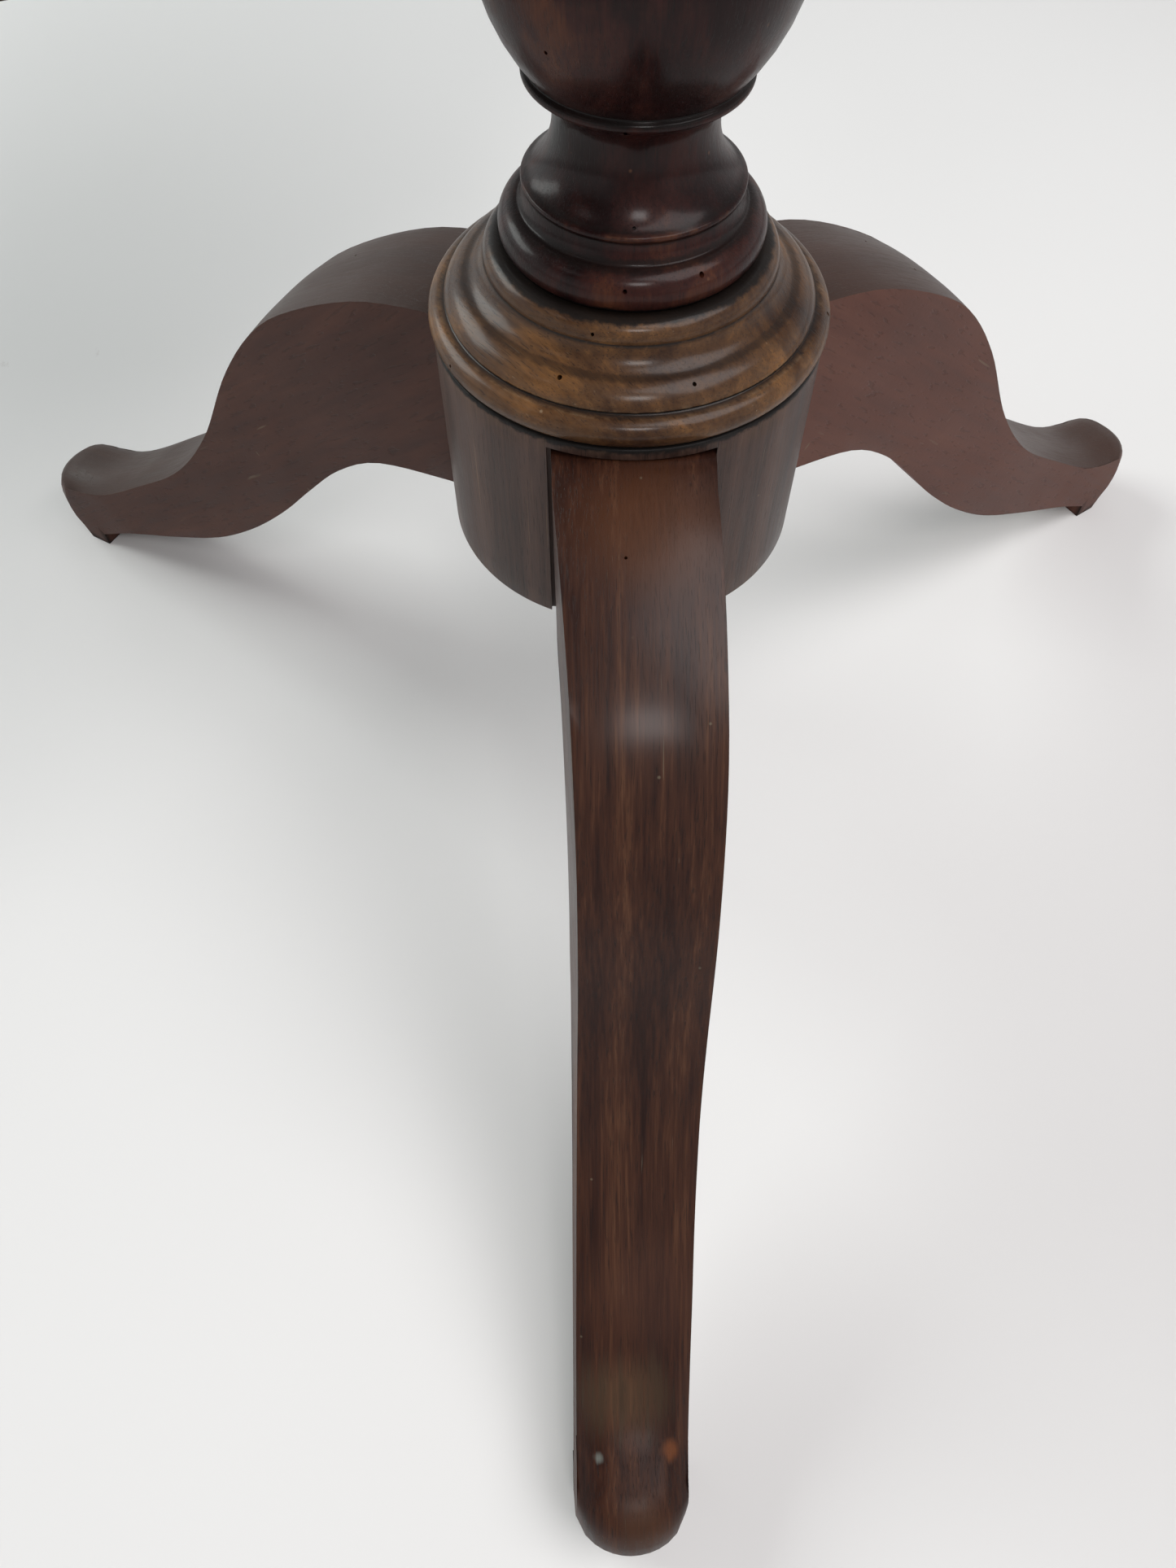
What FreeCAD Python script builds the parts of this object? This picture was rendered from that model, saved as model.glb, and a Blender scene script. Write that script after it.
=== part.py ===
# Tilt top table: three cabriole legs dovetailed into a drum, a turned pillar, a square block on
# the pillar, and a round top that tilts on the block and is held level by a sliding bolt.
#
# Millimetres. Origin on the floor, on the pillar's axis, +Z up. The top is modelled level and then
# turned about its pivot, so that it hangs upright on the +X side, over the hinge side leg.

import FreeCAD, Part
import math
import os
import Sketcher

from FreeCAD import Placement, Rotation, Vector

UP = Vector(0, 0, 1)

# Driving dimensions, name: value. Each becomes a named cell of the sheet.
DIMENSIONS = {
    # overall
    "table_height": 720.0,
    "top_radius": 421.5,
    "top_thickness": 20.0,
    "leg_reach": 345.0,
    "left_leg_reach": 340.0,
    # drum
    "drum_bottom": 171.5,
    "drum_height": 77.5,
    "drum_radius": 61.5,
    # round tenon under the pillar
    "low_tenon_radius": 17.0,
    "low_tenon_gap": 4.0,
    # collar, outside from the bottom up: how far in from the drum's radius, rise above the drum,
    # radius of the curve above
    "collar_height": 27.0,
    "bead_low_inset": 1.5,
    "bead_curve": 4.6,
    "bead_top_inset": 2.9,
    "bead_top_rise": 8.7,
    "quirk_inset": 4.5,
    "quirk_rise": 9.5,
    "ovolo_curve": 9.0,
    "ovolo_top_inset": 12.0,
    "ovolo_top_rise": 15.5,
    "cove_curve": 9.0,
    "cove_top_inset": 17.5,
    "cove_top_rise": 21.5,
    "roll_curve": 4.6,
    "roll_top_inset": 23.3,
    # pillar above the collar: radius, rise above the collar, radius of the curve above
    "torus_low_radius": 36.8,
    "torus_curve": 6.3,
    "torus_top_radius": 34.0,
    "torus_top_rise": 11.0,
    "fillet_radius": 33.0,
    "fillet_curve": 9.0,
    "fillet_top_radius": 31.2,
    "fillet_top_rise": 16.6,
    "flange_radius": 31.9,
    "flange_low_rise": 17.2,
    "flange_top_rise": 18.4,
    "scotia_radius": 30.4,
    "scotia_rise": 19.0,
    "scotia_curve": 19.0,
    "neck_radius": 22.8,
    "neck_rise": 36.5,
    "lip_curve": 8.0,
    "lip_under_radius": 28.8,
    "lip_under_rise": 43.6,
    "lip_radius": 30.1,
    "lip_low_rise": 44.6,
    "lip_round": 1.4,
    "lip_top_rise": 46.8,
    "ball_low_radius": 29.3,
    "ball_low_rise": 47.4,
    "ball_curve": 46.2,
    "ball_top_radius": 34.6,
    "ball_top_rise": 104.0,
    "sweep_curve": 42.0,
    "sweep_top_radius": 21.0,
    "sweep_top_rise": 136.0,
    "ring_radius": 22.4,
    "ring_low_rise": 138.0,
    "ring_curve": 4.4,
    "ring_top_rise": 146.0,
    "shaft_low_radius": 21.4,
    "shaft_low_rise": 148.0,
    "shaft_curve": 2400.0,
    # pillar below the block: radius, drop below the block, radius of the curve above
    "shaft_top_radius": 17.4,
    "shaft_top_drop": 76.0,
    "astragal_radius": 18.6,
    "astragal_low_drop": 74.0,
    "astragal_curve": 4.1,
    "astragal_top_drop": 66.6,
    "cap_neck_radius": 17.6,
    "cap_neck_drop": 64.6,
    "cap_curve": 62.0,
    "cap_under_radius": 31.0,
    "cap_under_drop": 14.0,
    "cap_radius": 34.0,
    "cap_low_drop": 12.0,
    "cap_round": 6.6,
    # round tenon in the block
    "high_tenon_radius": 16.0,
    "high_tenon_recess": 0.2,
    # wedge in the upper tenon
    "wedge_thick": 3.2,
    "wedge_thin": 1.2,
    "wedge_depth": 22.0,
    "wedge_inset": 1.0,
    # legs; the sockets are cut by hand, so the legs aren't quite evenly spaced
    "hinge_leg_angle": 0.8,
    "left_leg_angle": 120.0,
    "right_leg_angle": -117.5,
    "shoulder_drop": 4.0,
    "underside_drop": 1.0,
    "leg_half_width": 24.2,
    "calf_half_width": 20.2,
    "toe_half_width": 18.4,
    "calf_share": 0.55,
    "toe_round_share": 0.62,
    "nose_top_height": 42.0,
    "nose_top_back": 11.0,
    "nose_middle_height": 33.5,
    "nose_middle_back": 3.0,
    "nose_low_height": 19.5,
    "nose_low_back": 0.45,
    "bevel_height": 14.0,
    "bevel_back": 1.5,
    "pad_front": 12.0,
    "pad_length": 19.0,
    "pad_height": 8.0,
    # dovetail, the same on each leg
    "tail_neck": 24.0,
    "tail_end": 33.0,
    "tail_depth": 24.0,
    "tail_drop": 14.0,
    "tail_start_inset": 2.0,
    "tail_overlap": 6.0,
    # iron plate under the drum
    "spider_thick": 2.5,
    "spider_hub_radius": 30.0,
    "spider_arm_half_width": 9.5,
    "spider_arm_inset": 6.5,
    "spider_leg_screw_inset": 14.5,
    "spider_drum_screw_out": 24.0,
    "spider_drum_screw_turn": 60.0,
    # block and pivot
    "block_half_side": 92.0,
    "block_thickness": 28.0,
    "pivot_drop": 14.0,
    "top_gap": 0.4,
    "pin_radius": 5.0,
    "pin_in_block": 32.0,
    "pin_recess": 2.0,
    # round top
    "board_half_width": 147.0,
    "edge_round": 6.0,
    "edge_bevel_height": 5.0,
    "edge_bevel_width": 14.0,
    # bearers under the top
    "bearer_gap": 0.6,
    "bearer_width": 38.0,
    "bearer_depth": 28.0,
    "bearer_end_margin": 115.0,
    "bearer_taper": 70.0,
    "bearer_tip_depth": 9.0,
    "bearer_screw_inner": 45.0,
    "bearer_screw_beyond": 68.0,
    "bearer_screw_sink": 10.0,
    "bearer_screw_length": 30.0,
    # catch
    "keeper_thick": 2.0,
    "keeper_half_width": 22.0,
    "keeper_height": 20.0,
    "keeper_top_margin": 0.6,
    "keeper_screw_out": 15.0,
    "bolt_plate_thick": 3.0,
    "bolt_plate_length": 64.0,
    "bolt_plate_half_width": 19.0,
    "bolt_plate_setback": 6.0,
    "bolt_screw_spread": 10.0,
    "bolt_screw_inset": 5.3,
    "bolt_width": 10.0,
    "bolt_thick": 5.0,
    "bolt_length": 70.0,
    "bolt_setback": 2.4,
    "bolt_travel": 9.0,
    "bolt_gap": 0.3,
    "bolt_hole_gap": 0.5,
    "bolt_hole_spare": 4.0,
    "guide_thick": 2.0,
    "guide_foot": 3.0,
    "guide_length": 9.0,
    "guide_inset": 5.0,
    "knob_radius": 5.0,
    "knob_stem_radius": 2.6,
    "knob_height": 12.0,
    # screws
    "screw_head_radius": 4.0,
    "screw_head_depth": 2.2,
    "screw_radius": 2.0,
    "screw_point": 4.0,
    "small_screw_length": 15.0,
    # fits
    "joint_gap": 0.1,
    "pin_gap": 0.05,
    "screw_gap": 0.05,
    # how far cutting shapes stand past what they cut
    "trim_margin": 20.0,
    "cut_margin": 1.0,
}

doc = FreeCAD.newDocument("tilt_top_table")
sheet = doc.addObject("Spreadsheet::Sheet", "Sizes")
for row, (name, number) in enumerate(DIMENSIONS.items(), start=1):
    sheet.set(f"A{row}", name)
    sheet.set(f"B{row}", str(number))
    sheet.setAlias(f"B{row}", name)
doc.recompute()


def size(name):
    """A value of the sheet, by its name."""
    return float(sheet.get(name))


def total(*names):
    """Sum of sheet values; a name that starts with a minus sign is taken away."""
    return sum(-size(name[1:]) if name.startswith("-") else size(name) for name in names)


def formula(*names):
    """The same sum as total(), as an expression that a property can be bound to."""
    text = ""
    for name in names:
        text += f" - Sizes.{name[1:]}" if name.startswith("-") else f" + Sizes.{name}"
    return text.removeprefix(" + ")


# Heights that several pieces share, each a sum of driving dimensions.
DRUM_TOP = ("drum_bottom", "drum_height")
SEAT = (*DRUM_TOP, "collar_height")
TOP_UNDERSIDE = ("table_height", "-top_thickness")
BLOCK_TOP = (*TOP_UNDERSIDE, "-top_gap")
BLOCK_BOTTOM = (*BLOCK_TOP, "-block_thickness")
PIVOT_HEIGHT = (*BLOCK_TOP, "-pivot_drop")
PIVOT_OUT = ("block_half_side", "-pivot_drop")

nodes = {}


def keep(item, label):
    """Name a finished sub-part; the label is also the name of its file."""
    item.Label = label
    nodes[label] = item
    return item


# ---------------------------------------------------------------- sketches

def origin_plane(body, role):
    return next(f for f in body.Origin.OriginFeatures if f.Role == role)


def new_sketch(body, name, role, lift=()):
    """A sketch on one of the body's origin planes, lifted off it by a sum of sheet values."""
    sketch = body.newObject("Sketcher::SketchObject", name)
    sketch.AttachmentSupport = [(origin_plane(body, role), "")]
    sketch.MapMode = "FlatFace"
    if lift:
        sketch.setExpression("AttachmentOffset.Base.z", formula(*lift))
    return sketch


def arc_between(start, end, radius, side):
    """Arc from start to end; side is 1 for one that bulges right of the way, -1 for left."""
    chord = end - start
    sideways = Vector(chord.y, -chord.x, 0).normalize()
    depth = math.sqrt(radius * radius - chord.Length * chord.Length / 4)
    centre = (start + end) / 2 - sideways * (side * depth)
    first, last = (start, end) if side > 0 else (end, start)
    angles = [math.atan2(point.y - centre.y, point.x - centre.x) for point in (first, last)]
    if angles[1] < angles[0]:
        angles[1] += 2 * math.pi
    return Part.ArcOfCircle(Part.Circle(centre, UP, radius), *angles)


def draw_outline(sketch, corners):
    """Closed outline of lines and arcs, with every corner and arc bound to the sheet.

    A corner is (names for x, names for y, curve). Curve belongs to the edge that starts at the
    corner: None for a line, or (name of its radius, side) for an arc. A corner with no name for x
    lies on the upright axis.
    """
    points = [Vector(total(*across), total(*up), 0) for across, up, curve in corners]
    starts, ends = [], []
    for index, (across, up, curve) in enumerate(corners):
        start = points[index]
        end = points[(index + 1) % len(points)]
        if curve is None:
            edge = Part.LineSegment(start, end)
        else:
            edge = arc_between(start, end, size(curve[0]), curve[1])
        number = sketch.addGeometry(edge, False)
        forward = curve is None or curve[1] > 0
        starts.append((number, 1 if forward else 2))
        ends.append((number, 2 if forward else 1))
        if curve is not None:
            radius = sketch.addConstraint(Sketcher.Constraint("Radius", number, size(curve[0])))
            sketch.setExpression(f"Constraints[{radius}]", formula(curve[0]))
    for index, (across, up, curve) in enumerate(corners):
        following = (index + 1) % len(corners)
        sketch.addConstraint(Sketcher.Constraint("Coincident", *ends[index], *starts[following]))
        if across:
            place = sketch.addConstraint(
                Sketcher.Constraint("DistanceX", -1, 1, *starts[index], points[index].x))
            sketch.setExpression(f"Constraints[{place}]", formula(*across))
        else:
            sketch.addConstraint(Sketcher.Constraint("PointOnObject", *starts[index], -2))
        place = sketch.addConstraint(
            Sketcher.Constraint("DistanceY", -1, 1, *starts[index], points[index].y))
        sketch.setExpression(f"Constraints[{place}]", formula(*up))


def draw_shape(sketch, edges):
    """Outline from ready-made edges, joined end to end."""
    for edge in edges:
        sketch.addGeometry(edge, False)


def draw_polygon(sketch, points, angle=0.0):
    corners = [Rotation(UP, angle).multVec(Vector(x, y, 0)) for x, y in points]
    draw_shape(sketch, [Part.LineSegment(a, b) for a, b in zip(corners, corners[1:] + corners[:1])])


def draw_circle(sketch, radius_names):
    """Circle about the sketch's origin."""
    number = sketch.addGeometry(Part.Circle(Vector(0, 0, 0), UP, total(*radius_names)), False)
    sketch.addConstraint(Sketcher.Constraint("Coincident", number, 3, -1, 1))
    radius = sketch.addConstraint(Sketcher.Constraint("Radius", number, total(*radius_names)))
    sketch.setExpression(f"Constraints[{radius}]", formula(*radius_names))


def turned(name, corners):
    """A body turned about the upright axis from an outline in the XZ plane."""
    body = doc.addObject("PartDesign::Body", name)
    outline = new_sketch(body, f"{name}_outline", "XZ_Plane")
    draw_outline(outline, corners)
    turning = body.newObject("PartDesign::Revolution", f"{name}_turning")
    turning.Profile = outline
    turning.ReferenceAxis = (outline, ["V_Axis"])
    turning.Angle = 360
    body.Tip = turning
    return body


def pad(body, sketch, name, length_names, both_ways=False):
    feature = body.newObject("PartDesign::Pad", name)
    feature.Profile = sketch
    if both_ways:
        feature.Midplane = True
        feature.setExpression("Length", f"2 * ({formula(*length_names)})")
    else:
        feature.setExpression("Length", formula(*length_names))
    body.Tip = feature
    return feature


def pocket(body, sketch, name, length_names=None):
    """Cut upwards from the sketch by a length, or both ways through everything."""
    feature = body.newObject("PartDesign::Pocket", name)
    feature.Profile = sketch
    if length_names is None:
        feature.Type = "ThroughAll"
        feature.Midplane = True
    else:
        feature.Reversed = True
        feature.setExpression("Length", formula(*length_names))
    body.Tip = feature
    return feature


# ---------------------------------------------------------------- plain solids

def cut(name, base, tools):
    """base without the tools; several tools go in as one compound."""
    tool = tools[0]
    if len(tools) > 1:
        tool = doc.addObject("Part::Compound", f"{name}_cutters")
        tool.Links = tools
    item = doc.addObject("Part::Cut", name)
    item.Base = base
    item.Tool = tool
    return item


def solid(name, shape):
    """A shape made in code, for pieces that no feature fits."""
    item = doc.addObject("Part::Feature", name)
    item.Shape = shape
    return item


def screw(length, slack=0.0):
    """Countersunk wood screw, head upwards at the origin; slack swells it into its own hole."""
    head = size("screw_head_radius") + slack
    shank = size("screw_radius") + slack
    neck = size("screw_head_depth")
    tip = length + slack
    outline = [(0, 0), (head, 0), (shank, -neck), (shank, size("screw_point") - tip), (0, -tip)]
    face = Part.Face(Part.makePolygon([Vector(x, 0, z) for x, z in outline + outline[:1]]))
    return face.revolve(Vector(0, 0, 0), UP, 360)


def screws_at(places, length, slack=0.0):
    """Screws at (point, direction that the head faces)."""
    shapes = []
    for point, facing in places:
        shape = screw(length, slack)
        shape.Placement = Placement(point, Rotation(UP, facing))
        shapes.append(shape)
    return Part.makeCompound(shapes)


def screw_set(label, places, length):
    """The screws as one kept node, and the matching holes as a cutter."""
    keep(solid(label, screws_at(places, length)), label)
    return solid(f"{label}_holes", screws_at(places, length, size("screw_gap")))


# ---------------------------------------------------------------- drum, collar, pillar

# Each leg and the way that it points, in degrees from +X.
LEGS = {
    "hinge_side_leg": size("hinge_leg_angle"),
    "left_leg": size("left_leg_angle"),
    "right_leg": size("right_leg_angle"),
}
# Legs whose toe does not come out as far as the others.
REACHES = {"left_leg": "left_leg_reach"}


def dovetail(sketch, slack, angle=0.0):
    """Dovetail narrow at the drum's surface and wide inside it, at an angle from the +X axis."""
    outer = total("drum_radius", "tail_overlap")
    root = total("drum_radius", "-tail_start_inset")
    inner = root - size("tail_depth") - slack
    neck = size("tail_neck") / 2 + slack
    end = size("tail_end") / 2 + slack
    draw_polygon(sketch, [(outer, -neck), (outer, neck), (root, neck), (inner, end),
                          (inner, -end), (root, -neck)], angle)


def make_drum():
    body = doc.addObject("PartDesign::Body", "drum_body")
    section = new_sketch(body, "drum_section", "XY_Plane", ("drum_bottom",))
    draw_circle(section, ("drum_radius",))
    draw_circle(section, ("low_tenon_radius", "joint_gap"))
    pad(body, section, "drum_block", ("drum_height",))
    for leg, angle in LEGS.items():
        mouth = new_sketch(body, f"{leg}_socket_mouth", "XY_Plane", ("drum_bottom",))
        dovetail(mouth, size("joint_gap"), angle)
        pocket(body, mouth, f"{leg}_socket", ("drum_height", "-tail_drop", "joint_gap"))
    return body


def make_collar():
    bore = ("low_tenon_radius", "joint_gap")

    def corner(part, height, curve=None):
        return (("drum_radius", f"-{part}_inset"), height, curve)

    return turned("collar_body", [
        (bore, DRUM_TOP, None),
        corner("bead_low", DRUM_TOP, ("bead_curve", 1)),
        corner("bead_top", (*DRUM_TOP, "bead_top_rise")),
        corner("quirk", (*DRUM_TOP, "quirk_rise"), ("ovolo_curve", 1)),
        corner("ovolo_top", (*DRUM_TOP, "ovolo_top_rise"), ("cove_curve", -1)),
        corner("cove_top", (*DRUM_TOP, "cove_top_rise"), ("roll_curve", 1)),
        corner("roll_top", SEAT),
        (bore, SEAT, None),
    ])


def make_pillar():
    def above(name):
        return (*SEAT, name)

    def below(name):
        return (*BLOCK_BOTTOM, f"-{name}")

    body = turned("pillar_body", [
        ((), ("drum_bottom", "low_tenon_gap"), None),
        (("low_tenon_radius",), ("drum_bottom", "low_tenon_gap"), None),
        (("low_tenon_radius",), SEAT, None),
        (("torus_low_radius",), SEAT, ("torus_curve", 1)),
        (("torus_top_radius",), above("torus_top_rise"), None),
        (("fillet_radius",), above("torus_top_rise"), ("fillet_curve", -1)),
        (("fillet_top_radius",), above("fillet_top_rise"), None),
        (("flange_radius",), above("flange_low_rise"), None),
        (("flange_radius",), above("flange_top_rise"), None),
        (("scotia_radius",), above("scotia_rise"), ("scotia_curve", -1)),
        (("neck_radius",), above("neck_rise"), ("lip_curve", -1)),
        (("lip_under_radius",), above("lip_under_rise"), None),
        (("lip_radius",), above("lip_low_rise"), ("lip_round", 1)),
        (("lip_radius",), above("lip_top_rise"), None),
        (("ball_low_radius",), above("ball_low_rise"), ("ball_curve", 1)),
        (("ball_top_radius",), above("ball_top_rise"), ("sweep_curve", -1)),
        (("sweep_top_radius",), above("sweep_top_rise"), None),
        (("ring_radius",), above("ring_low_rise"), ("ring_curve", 1)),
        (("ring_radius",), above("ring_top_rise"), None),
        (("shaft_low_radius",), above("shaft_low_rise"), ("shaft_curve", 1)),
        (("shaft_top_radius",), below("shaft_top_drop"), None),
        (("astragal_radius",), below("astragal_low_drop"), ("astragal_curve", 1)),
        (("astragal_radius",), below("astragal_top_drop"), None),
        (("cap_neck_radius",), below("cap_neck_drop"), ("cap_curve", -1)),
        (("cap_under_radius",), below("cap_under_drop"), None),
        (("cap_radius",), below("cap_low_drop"), ("cap_round", 1)),
        (("cap_radius",), BLOCK_BOTTOM, None),
        (("high_tenon_radius",), BLOCK_BOTTOM, None),
        (("high_tenon_radius",), (*BLOCK_TOP, "-high_tenon_recess"), None),
        ((), (*BLOCK_TOP, "-high_tenon_recess"), None),
    ])
    return body


def wedge_shape(half_width, slack):
    """Wedge across the tenon's end, thick end up, tapering along X."""
    top = total(*BLOCK_TOP, "-high_tenon_recess")
    depth = size("wedge_depth") + slack
    thick = size("wedge_thick") / 2 + slack
    thin = size("wedge_thin") / 2 + slack
    outline = [(-thick, top), (thick, top), (thin, top - depth), (-thin, top - depth)]
    face = Part.Face(Part.makePolygon([Vector(x, -half_width, z) for x, z in outline + outline[:1]]))
    return face.extrude(Vector(0, 2 * half_width, 0))


# ---------------------------------------------------------------- legs

# Side view of a leg: share of the way from the drum to the toe, share of the height at the drum.
TOP_LINE = [(0.0, 1.0), (0.10, 0.974), (0.21, 0.913), (0.29, 0.845), (0.375, 0.726),
            (0.472, 0.544), (0.575, 0.404), (0.69, 0.306), (0.84, 0.202)]
UNDER_LINE = [(0.0, 1.0), (0.12, 0.955), (0.20, 0.868), (0.27, 0.748), (0.35, 0.600), (0.44, 0.459),
              (0.54, 0.337), (0.66, 0.235), (0.80, 0.128)]


def leg_side_edges(reach):
    """Outline in the XZ plane: cabriole top line, round nose, bevelled toe, pad and underside."""
    drum = size("drum_radius")
    way = size("leg_reach") - drum
    top = total(*DRUM_TOP, "-shoulder_drop")
    bottom = total("drum_bottom", "-underside_drop")
    inside = drum - size("tail_neck") / 2
    top_points = [Vector(drum + way * share, top * height, 0) for share, height in TOP_LINE]
    nose_start = Vector(reach - size("nose_top_back"), size("nose_top_height"), 0)
    nose_end = Vector(reach - size("nose_low_back"), size("nose_low_height"), 0)
    top_curve = Part.BSplineCurve()
    top_curve.interpolate([*top_points, nose_start])
    nose_middle = Vector(reach - size("nose_middle_back"), size("nose_middle_height"), 0)
    bevel_top = Vector(reach - size("bevel_back"), size("bevel_height"), 0)
    pad_outer = Vector(reach - size("pad_front"), 0, 0)
    pad_inner = pad_outer - Vector(size("pad_length"), 0, 0)
    notch = pad_inner + Vector(0, size("pad_height"), 0)
    under_points = [Vector(drum + way * share, bottom * height, 0) for share, height in UNDER_LINE]
    under_curve = Part.BSplineCurve()
    under_curve.interpolate([*under_points, notch])
    return [
        Part.LineSegment(Vector(inside, top, 0), top_points[0]),
        top_curve,
        Part.Arc(nose_start, nose_middle, nose_end),
        Part.LineSegment(nose_end, bevel_top),
        Part.LineSegment(bevel_top, pad_outer),
        Part.LineSegment(pad_outer, pad_inner),
        Part.LineSegment(pad_inner, notch),
        under_curve,
        Part.LineSegment(under_points[0], Vector(inside, bottom, 0)),
        Part.LineSegment(Vector(inside, bottom, 0), Vector(inside, top, 0)),
    ]


def leg_plan_edges(reach):
    """Outline in the XY plane: straight taper in two stretches and a round toe."""
    drum = size("drum_radius")
    calf = drum + (reach - drum) * size("calf_share")
    toe = size("toe_half_width")
    toe_start = reach - toe * size("toe_round_share")
    edges = []
    for side in (1, -1):
        edges.append([
            Vector(0, side * size("leg_half_width"), 0),
            Vector(drum, side * size("leg_half_width"), 0),
            Vector(calf, side * size("calf_half_width"), 0),
            Vector(toe_start, side * toe, 0),
        ])
    left, right = edges
    lines = [Part.LineSegment(a, b) for line in edges for a, b in zip(line, line[1:])]
    lines.append(Part.Arc(left[-1], Vector(reach, 0, 0), right[-1]))
    lines.append(Part.LineSegment(left[0], right[0]))
    return lines


def make_leg(name, azimuth):
    body = doc.addObject("PartDesign::Body", f"{name}_body")
    reach = size(REACHES.get(name, "leg_reach"))
    side = new_sketch(body, f"{name}_side", "XZ_Plane")
    draw_shape(side, leg_side_edges(reach))
    pad(body, side, f"{name}_blank", ("leg_half_width",), both_ways=True)
    plan = new_sketch(body, f"{name}_plan", "XY_Plane")
    draw_shape(plan, leg_plan_edges(reach))
    margin = size("trim_margin")
    far = reach + margin
    width = size("leg_half_width") + margin
    draw_polygon(plan, [(-margin, -width), (far, -width), (far, width), (-margin, width)])
    pocket(body, plan, f"{name}_taper")
    shoulder = new_sketch(body, f"{name}_shoulder", "XY_Plane")
    draw_circle(shoulder, ("drum_radius",))
    pocket(body, shoulder, f"{name}_scribe")
    tail = new_sketch(body, f"{name}_tail", "XY_Plane", ("drum_bottom",))
    dovetail(tail, 0.0)
    pad(body, tail, f"{name}_dovetail", ("drum_height", "-tail_drop"))
    body.Placement = Placement(Vector(0, 0, 0), Rotation(UP, azimuth))
    return body


def polar(distance, azimuth, height):
    angle = math.radians(azimuth)
    return Vector(distance * math.cos(angle), distance * math.sin(angle), height)


# ---------------------------------------------------------------- build: base

def make_spider():
    body = doc.addObject("PartDesign::Body", "spider_body")
    hub = new_sketch(body, "spider_hub", "XY_Plane", ("drum_bottom", "-spider_thick"))
    draw_circle(hub, ("spider_hub_radius",))
    pad(body, hub, "spider_disc", ("spider_thick",))
    half = size("spider_arm_half_width")
    reach = total("drum_radius", "-spider_arm_inset") - half
    for leg, angle in LEGS.items():
        arm = new_sketch(body, f"{leg}_arm_outline", "XY_Plane", ("drum_bottom", "-spider_thick"))
        turn = Rotation(UP, angle)
        corners = [turn.multVec(Vector(x, y, 0)) for x, y in
                   ((0, -half), (0, half), (reach, half), (reach, -half))]
        tip = turn.multVec(Vector(reach + half, 0, 0))
        draw_shape(arm, [
            Part.LineSegment(corners[0], corners[1]),
            Part.LineSegment(corners[1], corners[2]),
            Part.Arc(corners[2], tip, corners[3]),
            Part.LineSegment(corners[3], corners[0]),
        ])
        pad(body, arm, f"{leg}_arm", ("spider_thick",))
    return body


spider_face = total("drum_bottom", "-spider_thick")
leg_screw_out = total("drum_radius", "-spider_leg_screw_inset")
spider_places = []
for azimuth in LEGS.values():
    spider_places.append((polar(leg_screw_out, azimuth, spider_face), -UP))
    between = azimuth + size("spider_drum_screw_turn")
    spider_places.append((polar(size("spider_drum_screw_out"), between, spider_face), -UP))
spider_holes = screw_set("spider_screws", spider_places, size("small_screw_length"))

keep(cut("drum", make_drum(), [spider_holes]), "drum")
keep(make_collar(), "collar")
for leg_name, azimuth in LEGS.items():
    keep(cut(leg_name, make_leg(leg_name, azimuth), [spider_holes]), leg_name)
keep(cut("spider_plate", make_spider(), [spider_holes]), "spider_plate")

kerf = solid("kerf", wedge_shape(size("high_tenon_radius") + size("wedge_inset"), 0.0))
keep(cut("pillar", make_pillar(), [kerf]), "pillar")
keep(solid("tenon_wedge", wedge_shape(size("high_tenon_radius") - size("wedge_inset"), 0.0)),
     "tenon_wedge")


# ---------------------------------------------------------------- build: block, pins and keeper

def make_block():
    """Square block with its hinge edge rounded about the pivot."""
    body = doc.addObject("PartDesign::Body", "block_body")
    side = new_sketch(body, "block_side", "XZ_Plane")
    half = size("block_half_side")
    low = total(*BLOCK_BOTTOM)
    high = total(*BLOCK_TOP)
    pivot_out = total(*PIVOT_OUT)
    pivot_up = total(*PIVOT_HEIGHT)
    drop = size("pivot_drop")
    round_middle = Vector(pivot_out + drop * math.cos(math.pi / 4),
                          pivot_up + drop * math.sin(math.pi / 4), 0)
    draw_shape(side, [
        Part.LineSegment(Vector(-half, low, 0), Vector(half, low, 0)),
        Part.LineSegment(Vector(half, low, 0), Vector(half, pivot_up, 0)),
        Part.Arc(Vector(half, pivot_up, 0), round_middle, Vector(pivot_out, high, 0)),
        Part.LineSegment(Vector(pivot_out, high, 0), Vector(-half, high, 0)),
        Part.LineSegment(Vector(-half, high, 0), Vector(-half, low, 0)),
    ])
    pad(body, side, "block_blank", ("block_half_side",), both_ways=True)
    mortise = new_sketch(body, "tenon_hole", "XY_Plane")
    draw_circle(mortise, ("high_tenon_radius", "joint_gap"))
    pocket(body, mortise, "tenon_mortise")
    return body


def pin_shape(side, slack):
    """Pivot pin from inside the block out through the bearer; side is 1 or -1 along Y."""
    start = size("block_half_side") - size("pin_in_block")
    end = total("block_half_side", "bearer_gap", "bearer_width", "-pin_recess")
    base = Vector(total(*PIVOT_OUT), side * start, total(*PIVOT_HEIGHT))
    return Part.makeCylinder(size("pin_radius") + slack, end - start, base, Vector(0, side, 0))


BOLT_TOP = (*TOP_UNDERSIDE, "-bolt_plate_thick", "-bolt_gap")
BOLT_LOW = (*BOLT_TOP, "-bolt_thick")


def bolt_hole(name):
    """Hole for the shot bolt, through the keeper and into the block."""
    gap = size("bolt_hole_gap")
    half = size("bolt_width") / 2 + gap
    height = size("bolt_thick") + 2 * gap
    depth = total("bolt_travel", "keeper_thick", "bolt_hole_spare")
    face = -total("block_half_side", "keeper_thick") - gap
    return solid(name, Part.makeBox(depth, 2 * half, height, Vector(face, -half, total(*BOLT_LOW) - gap)))


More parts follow.
